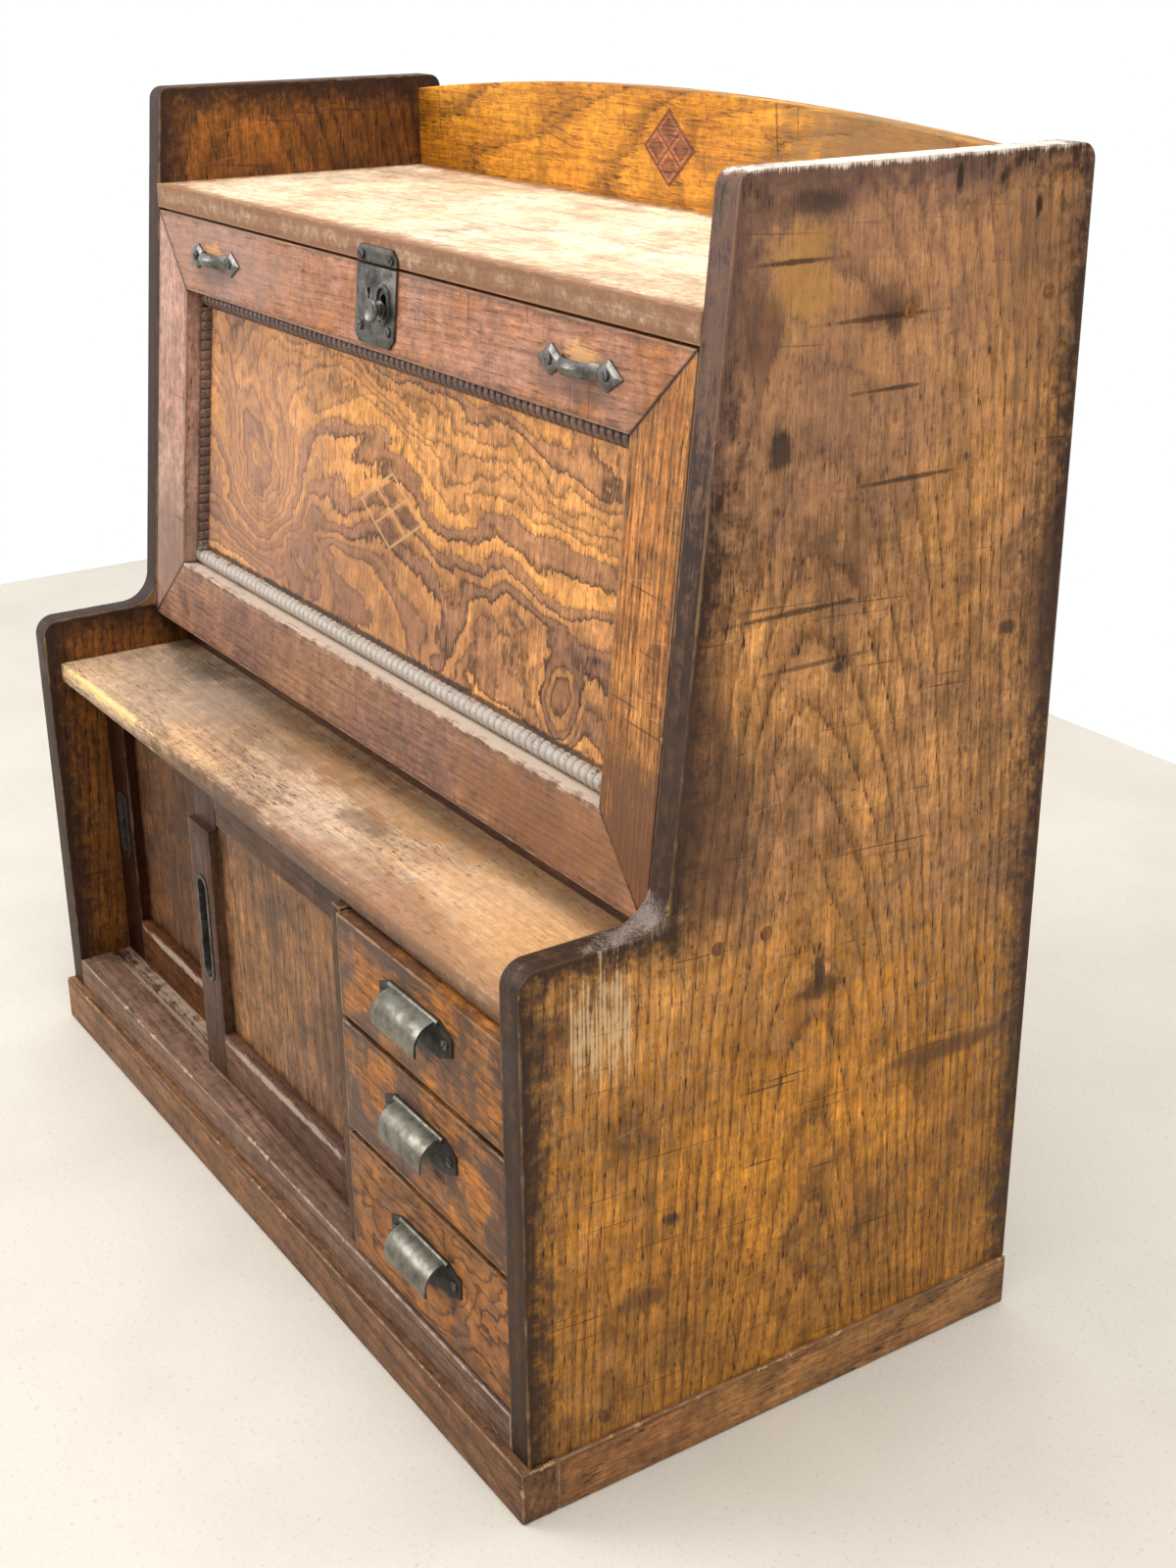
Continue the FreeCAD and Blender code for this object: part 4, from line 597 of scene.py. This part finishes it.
# the boards deep in the door bay (hinge rail, door guides, partition and head lip) are darkened as painted shade of the
# recess
bayShadeTone = {"lightHex": "#5d3e28", "tintHex": "#4c3220", "darkHex": "#2c1b14"}
for board, axes in (("bottom_board", "yzx"), ("desk_floor", "yzx"), ("hinge_rail", "yzx"), ("door_guides", "zyx"),
                    ("drawer_rails", "zyx"), ("drawer_runners", "zxy"), ("flap_stops", "xyz"),
                    ("drawer_partition", "yxz"), ("head_lip", "zyx")):
    inShadedBay = board in ("hinge_rail", "door_guides", "drawer_partition", "head_lip")
    look = {**plainInside, **(bayShadeTone if inShadedBay else {}), "axes": axes, "lean": board == "flap_stops",
            "marks": dustyTrack.get(board, [])}
    makeBoard(board, look, arrisMm=0.8)
# the back boards were never stained: dry, greyed softwood
backBoards = {"wood": "dry_cedar", "lightHex": "#a3805a", "tintHex": "#8c6a48", "darkHex": "#674a30", "ringMm": 7,
              "pith": (60, 15), "figure": 0.5, "rough": (0.65, 0.9)}
makeBoard("upper_back", {**backBoards, "shift": (0, 0, 33)}, arrisMm=0.8)
makeBoard("lower_back", backBoards, arrisMm=0.8)
pegs = {"axes": "yxz", "lightHex": "#7a4e24", "tintHex": "#6a4020", "darkHex": "#3c2412", "limits": None,
        "ringMm": 2}
makeBoard("side_pegs", pegs, arrisMm=0.3, segments=2)
print("case boards done")

# the drop front: mitred frame and a flame-figured panel
flapRail = {"lean": True, "mitre": (282.8, 258.23), "lightHex": "#b2826a", "tintHex": "#a46a42",
            "darkHex": "#5c3624", "ringMm": 4, "pith": (300, 30), "figure": 0.35, "streaks": 0.26, "pores": 0.5,
            "nicks": 0.6, "stain": 0.55, "stainMm": 34, "cloudMm": 70, "edgeMm": 4, "grimeAndShade": 0.5, "chipMm": 1.2,
            "chipHex": "#d8b08c", "arrisHex": "#d0a884",
            # the first mark, pale greyish pink on the left of the rail, is a painted sheen
            "marks": [((-190, -20, 238), (150, 20, 30), "#a5887c", 0.5),
                      ((197.5, -20, 233), (44, 12, 15), "#5f4a44", 0.6),
                      ((-197.5, -20, 233), (42, 12, 15), "#644f49", 0.6),
                      ((197.5, -20, 242.5), (17, 12, 7), "#e8ae74", 0.95),
                      ((-197.5, -20, 242.5), (15, 12, 6), "#e0a468", 0.95),
                      ((9, -20, 237), (19, 24, 18), "#120c08", 0.97)]}
makeBoard("flap_top_rail", flapRail, arrisMm=0.9)
bottomRail = {**flapRail, "lightHex": "#9a6e4e", "tintHex": "#7c5848", "darkHex": "#422a20", "nicks": 0.75,
              "cloudMm": 60, "chipHex": "#c8ac94", "marks": [((200, -20, 20), (110, 20, 26), "#8a5a30", 0.6),
                                                             ((0, -13.5, 43.5), (700, 11, 3.4), "#d2beaa", 0.85)]}
makeBoard("flap_bottom_rail", bottomRail, arrisMm=0.9)
flapStile = {**flapRail, "axes": "xyz", "pith": (60, 40)}
rightStile = {**flapStile, "lightHex": "#bf8040", "tintHex": "#a0642e", "darkHex": "#553012", "ringMm": 3.4,
              "pores": 1.0, "nicks": 1.0, "figure": 0.95, "streaks": 0.6, "patch": 0.3,
              "marks": [((264, -20, 38), (44, 40, 52), "#6b4530", 0.9)]}
# the left stile is paler and pinker than the right: a painted sheen
leftStile = {**flapStile, "lightHex": "#c09884", "tintHex": "#ac8270", "darkHex": "#70503f",
             "marks": [((-262, -20, 45), (34, 30, 50), "#846a5c", 0.7)]}
makeBoard("flap_right_stile", rightStile, arrisMm=0.9)
makeBoard("flap_left_stile", leftStile, arrisMm=0.9)
flapPanel = {"wood": "figured_ash", "axes": "xyz", "lean": True, "shift": (120, 0, 300), "lightHex": "#dc9850",
             "tintHex": "#8e634a", "darkHex": "#3c220e", "burl": (150, 90, 105, 0.5), "ringMm": 6.5, "jagMm": 8,
             "jagGrain": (3.4, 9), "lineShare": 0.46, "zones": 0.85, "figure": 1.0, "streaks": 0.26, "patch": 0.24,
             "stain": 0.4, "scuffs": [(0.3, "#e0b07c", 0.4)],
             "knots": [((-157, -7, 113), (75, 60, 95), 46), ((184, -7, 70), (26, 60, 40), 24)], "edgeMm": 10,
             "grimeAndShade": 0.3, "chipMm": 0.1, "arris": 0, "lozenge": ((7, -7, 130), 36, 21.5, "#d0a070", "#6a4630"),
             # the first mark, a pale pinkish haze over the left of the panel, is a painted sheen
             "marks": [((-170, -7, 120), (150, 60, 130), "#b88f7c", 0.4),
                       ((-60, -7, 70), (160, 60, 48), "#8f6650", 0.5),
                       # a dark line along the foot of the panel: painted shadow above the bottom rope
                       ((0, -7, 54.5), (700, 4, 2.6), "#2a1e18", 0.85)]}
makeBoard("flap_panel", flapPanel, arrisMm=0.4, segments=1)
print("drop front done")

# sliding doors: dark frames, mottled panels, the bottom rails pale with dust along their top arris; the doors' tones
# are darkened further as painted shade under the shelf
doorFrame = {"darkHex": "#301c12", "ringMm": 5, "figure": 0.5, "stain": 0.5, "edgeMm": 4, "grimeAndShade": 0.4, "chipMm": 2.2,
             "chipHex": "#a58d7a", "chipCut": 0.56, "arris": 0.5, "arrisHex": "#93786a"}
# the door panels' dark borders are painted shade along their frames
doorPanel = {"wood": "figured_ash", "axes": "xyz", "darkHex": "#3a2418", "ringMm": 7, "pith": (-100, 16), "sway": 50,
             "figure": 0.5, "streaks": 0.48, "patch": 0.26, "stain": 0.6, "stainMm": 20, "stainCut": (0.5, 0.72),
             "edgeMm": 10, "grimeAndShade": 0.8, "chipMm": 0.1, "arris": 0}
doorSizes = {"stileHalf": 14.5, "bottomRail": 32}
# door tones: partly the doors' own dark wood, partly painted shade under the shelf; the left door, set further back, is
# darkest
doorTones = {"right": {"stiles": {"lightHex": "#5a3d2a", "tintHex": "#483022"},
                       "rails": {"lightHex": "#6f4e38", "tintHex": "#5c3f31"},
                       "panel": {"lightHex": "#96683e", "tintHex": "#75533c"}},
             "left": {"stiles": {"lightHex": "#3c1a05", "tintHex": "#2c1203", "gloss": 0.1, "rough": (0.6, 0.85)},
                      "rails": {"lightHex": "#6a3f1e", "tintHex": "#4e2e18", "gloss": 0.1, "rough": (0.6, 0.85)},
                      "panel": {"lightHex": "#6e4522", "tintHex": "#4f3424"}}}
for hand, tone in doorTones.items():
    stiles = {**doorFrame, **tone["stiles"], "axes": "xyz", "twin": doorSizes["stileHalf"]}
    makeBoard(hand + "_door_stiles", stiles, arrisMm=1.4)
    low, high = nodeLimits(hand + "_door_rails")
    dusty = ((low.x + high.x) / 2, low.y, low.z + doorSizes["bottomRail"])
    rails = {**doorFrame, **tone["rails"], "marks": [(dusty, (110, 7, 3.4), "#b49c8c", 0.85)]}
    makeBoard(hand + "_door_rails", rails, arrisMm=2.2)
    makeBoard(hand + "_door_panel", {**doorPanel, **tone["panel"]}, arrisMm=0.4, segments=1)

# drawers: mottled brown fronts, the lowest with a strong flame figure, plain pale boxes
drawerFront = {"wood": "figured_ash", "lightHex": "#a8682a", "tintHex": "#845630", "darkHex": "#36200f",
               "ringMm": 6, "stainHex": "#463026", "stainCut": (0.42, 0.58), "pith": (20, 22), "slope": 0.12,
               "sway": 40, "figure": 0.55, "streaks": 0.5, "patch": 0.26, "stain": 0.8, "stainMm": 30,
               "cloudMm": 55, "edgeMm": 5, "grimeAndShade": 0.5, "chipMm": 2.4, "chipHex": "#b58a5e", "chipCut": 0.53,
               "arris": 0.7, "arrisHex": "#b48c66"}
drawerGrain = {"upper": {"shift": (0, 0, 60)}, "middle": {"shift": (70, 0, 0)},
               "lower": {"shift": (30, 0, 20), "burl": (46, 95, 90, 0.2), "jagMm": 6, "jagGrain": (3, 9), "ringMm": 9,
                         "lineShare": 0.4, "zones": 0.5, "figure": 1.0, "streaks": 0.15, "stain": 0.45,
                         "stainCut": (0.5, 0.66)}}
drawerBox = {"wood": "dry_cedar", "axes": "zxy", "lightHex": "#b08a5c", "tintHex": "#9a744a", "darkHex": "#7a5a38",
             "figure": 0.4, "stain": 0.2, "rough": (0.65, 0.85)}
pullShadow = {"dropMm": 6, "reach": (27, 8, 15), "hex": "#150e0a", "strength": 0.9}      # painted shadow under each cup pull, with some grime
for level, figure in drawerGrain.items():
    low, high = nodeLimits(level + "_drawer_pull")
    behind = ((low.x + high.x) / 2, high.y, (low.z + high.z) / 2 - pullShadow["dropMm"])
    marks = [(behind, pullShadow["reach"], pullShadow["hex"], pullShadow["strength"])]
    makeBoard(level + "_drawer_front", {**drawerFront, "marks": marks, **figure}, arrisMm=1.4)
    makeBoard(level + "_drawer_box", drawerBox, arrisMm=0.6, segments=2)
print("doors and drawers done")


# metal fittings
ironLook = {"metalHex": "#625e58", "tarnishHex": "#302b27", "tarnish": 0.85, "rustHex": "#4a3222", "rust": 0.45,
            "rough": (0.3, 0.55), "bump": 0.3, "metallic": 0.85}
tinLook = {**ironLook, "metalHex": "#7e7a6e", "tarnishHex": "#443f34", "tarnish": 0.7, "rust": 0.3,
           "rough": (0.34, 0.48), "bump": 0.12}                  # rolled sheet, smooth and yellowish
steelLook = {**ironLook, "metalHex": "#76736d", "tarnishHex": "#37322d", "tarnish": 0.75, "rust": 0.2,
             "rough": (0.28, 0.5)}                               # brightened by hands
# the near-black sheet stands for soot and grime and for painted shade: it lines the hollows of the cup pulls
sootAndShadeLook = {**ironLook, "metalHex": "#2b2622", "tarnishHex": "#171310", "rust": 0.5, "rough": (0.5, 0.8),
            "metallic": 0.3}                                     # nearly black, dull
iron, tin = agedMetal("wrought_iron", ironLook), agedMetal("tarnished_tin", tinLook)
steel, sootAndShade = agedMetal("rubbed_steel", steelLook), agedMetal("blackened_sheet", sootAndShadeLook)


def joinPieces(pieces, name):
    bpy.ops.object.select_all(action="DESELECT")
    for piece in pieces:
        piece.select_set(True)
    bpy.context.view_layer.objects.active = pieces[0]
    bpy.ops.object.join()
    bpy.context.object.name = bpy.context.object.data.name = name
    return bpy.context.object


# slotted screws, in metres, and how far each slot is turned, in radians
screws = {"slot": (0.008, 0.0011, 0.0008), "softMm": 0.25,
          "turns": {"flap_screws": (0.5, -0.7, 0.2, 1.1, -0.4, 0.8), "strike_screws": (0.7, -0.5),
                    "upper_drawer_screws": (0.3, -0.9), "middle_drawer_screws": (1.0, 0.1),
                    "lower_drawer_screws": (-0.6, 0.5)}}


def slotScrews(screws, node):
    # the screws are parted, a slot is cut across each head, and they are joined again
    copyNode(node, node + "_slotted")
    bpy.ops.object.mode_set(mode="EDIT")
    bpy.ops.mesh.select_all(action="SELECT")
    bpy.ops.mesh.separate(type="LOOSE")
    bpy.ops.object.mode_set(mode="OBJECT")
    heads = sorted(bpy.context.selected_objects, key=lambda s: s.name)
    stand, lie = (standUp, layBack) if bodyOf(node) == "drop_front" else (Matrix(), Matrix())
    turns = screws["turns"][node]
    for n, screw in enumerate(heads):
        low, high = spanOf([stand @ v.co for v in screw.data.vertices])
        bpy.ops.mesh.primitive_cube_add(size=1)
        cutter = bpy.context.object
        seat = Matrix.Translation(((low.x + high.x) / 2, low.y, (low.z + high.z) / 2))
        seat = seat @ Matrix.Rotation(turns[n % len(turns)], 4, "Y")
        cutter.matrix_world = lie @ seat @ Matrix.Diagonal((*screws["slot"], 1))
        bpy.ops.object.select_all(action="DESELECT")
        screw.select_set(True)
        bpy.context.view_layer.objects.active = screw
        slotCut = screw.modifiers.new("slot", "BOOLEAN")
        slotCut.operation = "DIFFERENCE"
        slotCut.object = cutter
        bpy.ops.object.modifier_apply(modifier="slot")
        bpy.data.objects.remove(cutter)
    piece = joinPieces(heads, node + "_slotted")
    softenEdges(piece, screws["softMm"], 2)
    seatPiece(piece, node, iron)


for node in screws["turns"]:
    slotScrews(screws, node)

# cup pulls: bright tarnished hoods over a back plate that, like the inside of each hood, is near black: grime and
# painted shade of the hollow
cupPull = {"plateMm": 1, "axisDropMm": 3.9, "skinMm": 0.3}
for level in drawerGrain:
    pull = makeBoard(level + "_drawer_pull", {}, material=tin, arrisMm=0.35, segments=2)
    pull.data.materials.append(sootAndShade)
    low, high = nodeLimits(level + "_drawer_pull")
    plateFace, axisHeight = high.y - cupPull["plateMm"], (low.z + high.z) / 2 - cupPull["axisDropMm"]
    # the back plate and the faces inside the hood take the near-black sheet: painted shade of the hollow, with grime
    for face in pull.data.polygons:
        out = Vector((0, face.center.y * mmPerMetre - plateFace, face.center.z * mmPerMetre - axisHeight))
        face.material_index = 1 if out.y > -cupPull["skinMm"] or face.normal.dot(out) < 0 else 0

# arched handles: a ridged bow between two cushioned diamond feet, in metres
handles = {"offset": 0.1975, "height": 0.2374, "face": -0.020, "foot": 0.0233, "footHalf": (0.0117, 0.0074),
           "footThick": 0.002, "footInset": 0.0026, "footSoftMm": 0.25, "span": 0.017, "rise": 0.0095,
           "barHalf": (0.004, 0.0022), "bowSoftMm": 0.3, "steps": 24, "weld": 0.000005}


def closeMesh():
    # faces outwards, then back to object mode
    bpy.ops.mesh.select_all(action="SELECT")
    bpy.ops.mesh.normals_make_consistent(inside=False)
    bpy.ops.object.mode_set(mode="OBJECT")


def makeHandle(handles, side, node):
    # modelled facing up: x along the handle, z away from the flap
    parts = []
    for end in (-1, 1):
        bpy.ops.object.select_all(action="DESELECT")
        bpy.ops.mesh.primitive_circle_add(vertices=4, radius=1, fill_type="NGON",
                                          location=(end * handles["foot"], 0, 0))
        foot = bpy.context.object
        foot.scale = (*handles["footHalf"], 1)
        bpy.ops.object.transform_apply(location=True, rotation=True, scale=True)
        bpy.ops.object.mode_set(mode="EDIT")
        bpy.ops.mesh.select_all(action="SELECT")
        halfThick = (0, 0, 0.5 * handles["footThick"])
        bpy.ops.mesh.extrude_region_move(TRANSFORM_OT_translate={"value": halfThick})
        bpy.ops.mesh.inset(thickness=handles["footInset"], depth=0)
        bpy.ops.transform.translate(value=halfThick)
        closeMesh()
        softenEdges(foot, handles["footSoftMm"], 2, sharp=12)
        parts.append(foot)
    radius = (handles["span"] ** 2 + handles["rise"] ** 2) / (2 * handles["rise"])
    swing = math.asin(handles["span"] / radius)
    centre = Vector((0, 0, handles["rise"] - radius))
    outward = Vector((-math.sin(swing), 0, math.cos(swing)))
    tilt = Matrix((Vector((0, 1, 0)), outward, Vector((0, 1, 0)).cross(outward))).transposed()
    bpy.ops.object.select_all(action="DESELECT")
    bpy.ops.mesh.primitive_circle_add(vertices=4, radius=1, fill_type="NGON", rotation=tilt.to_euler(),
                                      location=centre + (radius - handles["barHalf"][1]) * outward)
    bow = bpy.context.object
    bow.scale = (*handles["barHalf"], 1)
    bpy.ops.object.transform_apply(location=True, rotation=True, scale=True)
    bpy.ops.object.mode_set(mode="EDIT")
    bpy.ops.mesh.select_all(action="SELECT")
    bpy.ops.mesh.spin(steps=handles["steps"], angle=2 * swing, center=centre, axis=(0, -1, 0))
    bpy.ops.mesh.select_all(action="SELECT")
    bpy.ops.mesh.remove_doubles(threshold=handles["weld"])
    closeMesh()
    softenEdges(bow, handles["bowSoftMm"], 2, sharp=20)
    handle = joinPieces(parts + [bow], node + "_ridged")
    place = Matrix.Translation((side * handles["offset"], handles["face"], handles["height"]))
    handle.matrix_world = layBack @ place @ faceFront
    bpy.ops.object.transform_apply(location=True, rotation=True, scale=True)
    seatPiece(handle, node, steel)


makeHandle(handles, -1, "handle_left")
makeHandle(handles, 1, "handle_right")

# the latch knob is turned: stem, collar, neck and a dished head; radius and reach in millimetres
knob = {"place": (0.015, 0, 0.2373), "around": 40,
        "profile": [(2.5, 12), (2.5, 23), (5, 23), (5, 23.6), (4.5, 24), (2.6, 24.2), (2.5, 26), (3.2, 27),
                    (5.4, 27.1), (6.1, 27.7), (6.2, 28.6), (5.9, 29.5), (5.2, 30), (4.5, 29.8), (3.6, 29.3),
                    (1.2, 29.1)]}


def turnKnob(knob):
    bpy.ops.object.select_all(action="DESELECT")
    radius, reach = knob["profile"][0]
    bpy.ops.mesh.primitive_circle_add(vertices=knob["around"], radius=radius / mmPerMetre, fill_type="NGON",
                                      location=(0, 0, reach / mmPerMetre))
    piece = bpy.context.object
    bpy.ops.object.transform_apply(location=True, rotation=True, scale=True)
    bpy.ops.object.mode_set(mode="EDIT")
    bpy.ops.mesh.select_all(action="SELECT")
    for wider, further in knob["profile"][1:]:
        step = (0, 0, (further - reach) / mmPerMetre)
        bpy.ops.mesh.extrude_region_move(TRANSFORM_OT_translate={"value": step})
        bpy.ops.transform.resize(value=(wider / radius, wider / radius, 1), center_override=(0, 0, 0))
        radius, reach = wider, further
    closeMesh()
    bpy.ops.object.shade_smooth_by_angle(angle=math.radians(wear["smoothDegrees"]))
    piece.name = piece.data.name = "latch_knob_turned"
    piece.matrix_world = layBack @ Matrix.Translation(knob["place"]) @ faceFront
    bpy.ops.object.transform_apply(location=True, rotation=True, scale=True)
    seatPiece(piece, "latch_knob", steel)


turnKnob(knob)
for node in ("latch_plate", "latch_bolt", "strike_plate", "left_door_pull", "right_door_pull",
             "hinge_fixed_leaves", "hinge_pins", "hinge_moving_leaves"):
    makeBoard(node, {}, material=iron, arrisMm=0.3, segments=2)
print("fittings done")


# ribbed rope mouldings round the panel: dark, and grey with dust along the bottom run
ropes = {"core": 0.0039, "rib": 0.003, "bulge": 0.4, "points": 16, "steps": 20, "face": -0.007, "leadIn": 0.002,
         "weld": 0.00001, "smoothDegrees": 50,
         "runs": [("x", (-0.2398, 0.2398), 0.048), ("x", (-0.2398, 0.2398), 0.21023),
                  ("z", (0.053, 0.20523), -0.2348), ("z", (0.053, 0.20523), 0.2348)]}


def coilRope(length, ropes):
    # half a flattened circle stands off the axis and is wound round it, one rib to a turn
    bpy.ops.object.select_all(action="DESELECT")
    bpy.ops.mesh.primitive_circle_add(vertices=ropes["points"], radius=ropes["rib"],
                                      rotation=(math.radians(90), 0, 0))
    rope = bpy.context.object
    bpy.ops.object.transform_apply(location=False, rotation=True, scale=False)
    bpy.ops.object.mode_set(mode="EDIT")
    bpy.ops.mesh.select_mode(type="VERT")
    bpy.ops.mesh.select_all(action="DESELECT")
    bpy.ops.object.mode_set(mode="OBJECT")
    for v in rope.data.vertices:
        v.select = v.co.x < -ropes["weld"]
    bpy.ops.object.mode_set(mode="EDIT")
    bpy.ops.mesh.delete(type="VERT")
    bpy.ops.mesh.select_all(action="SELECT")
    bpy.ops.transform.resize(value=(ropes["bulge"], 1, 1), center_override=(0, 0, 0))
    bpy.ops.transform.translate(value=(ropes["core"], 0, 0))
    bpy.ops.object.mode_set(mode="OBJECT")
    wind = rope.modifiers.new("wind", "SCREW")
    wind.axis = "Z"
    wind.angle = math.radians(360)
    wind.screw_offset = 2 * ropes["rib"]
    wind.steps = wind.render_steps = ropes["steps"]
    wind.iterations = math.ceil(length / wind.screw_offset) + 2
    bpy.ops.object.modifier_apply(modifier="wind")
    bpy.ops.object.mode_set(mode="EDIT")
    bpy.ops.mesh.select_all(action="SELECT")
    bpy.ops.mesh.remove_doubles(threshold=ropes["weld"])
    # the two ends are sawn off, and the rear half, which lies against the frame
    start, end = ropes["leadIn"], ropes["leadIn"] + length
    for point, way in (((0, 0, start), (0, 0, -1)), ((0, 0, end), (0, 0, 1)), ((0, 0, 0), (0, 1, 0))):
        bpy.ops.mesh.select_all(action="SELECT")
        bpy.ops.mesh.bisect(plane_co=point, plane_no=way, use_fill=True, clear_outer=True)
    bpy.ops.mesh.select_all(action="SELECT")
    bpy.ops.transform.translate(value=(0, 0, -start))
    closeMesh()
    return rope


def layRopes(ropes):
    made = []
    for axis, (start, end), place in ropes["runs"]:
        rope = coilRope(end - start, ropes)
        if axis == "x":
            seat = Matrix.Translation((start, ropes["face"], place)) @ Matrix.Rotation(math.radians(90), 4, "Y")
        else:
            seat = Matrix.Translation((place, ropes["face"], start))
        rope.matrix_world = layBack @ seat
        bpy.ops.object.transform_apply(location=True, rotation=True, scale=True)
        made.append(rope)
    rope = joinPieces(made, "rope_mouldings_ribbed")
    bpy.ops.object.shade_smooth_by_angle(angle=math.radians(ropes["smoothDegrees"]))
    return rope


ropeWood = {"lean": True, "lightHex": "#6a4a38", "tintHex": "#54392b", "darkHex": "#2c1c14", "ringMm": 3,
            "figure": 0.4, "stain": 0.3, "scuffs": [], "marks": [((0, -12, 48), (700, 14, 11), "#b9aea2", 0.9)],
            "rough": (0.3, 0.5), "gloss": 0.5}
rope = layRopes(ropes)
rope.data.materials.append(agedWood("turned_ash_ropes", ropeWood))
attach(rope, "drop_front")
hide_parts("rope_mouldings")
print("rope mouldings done")
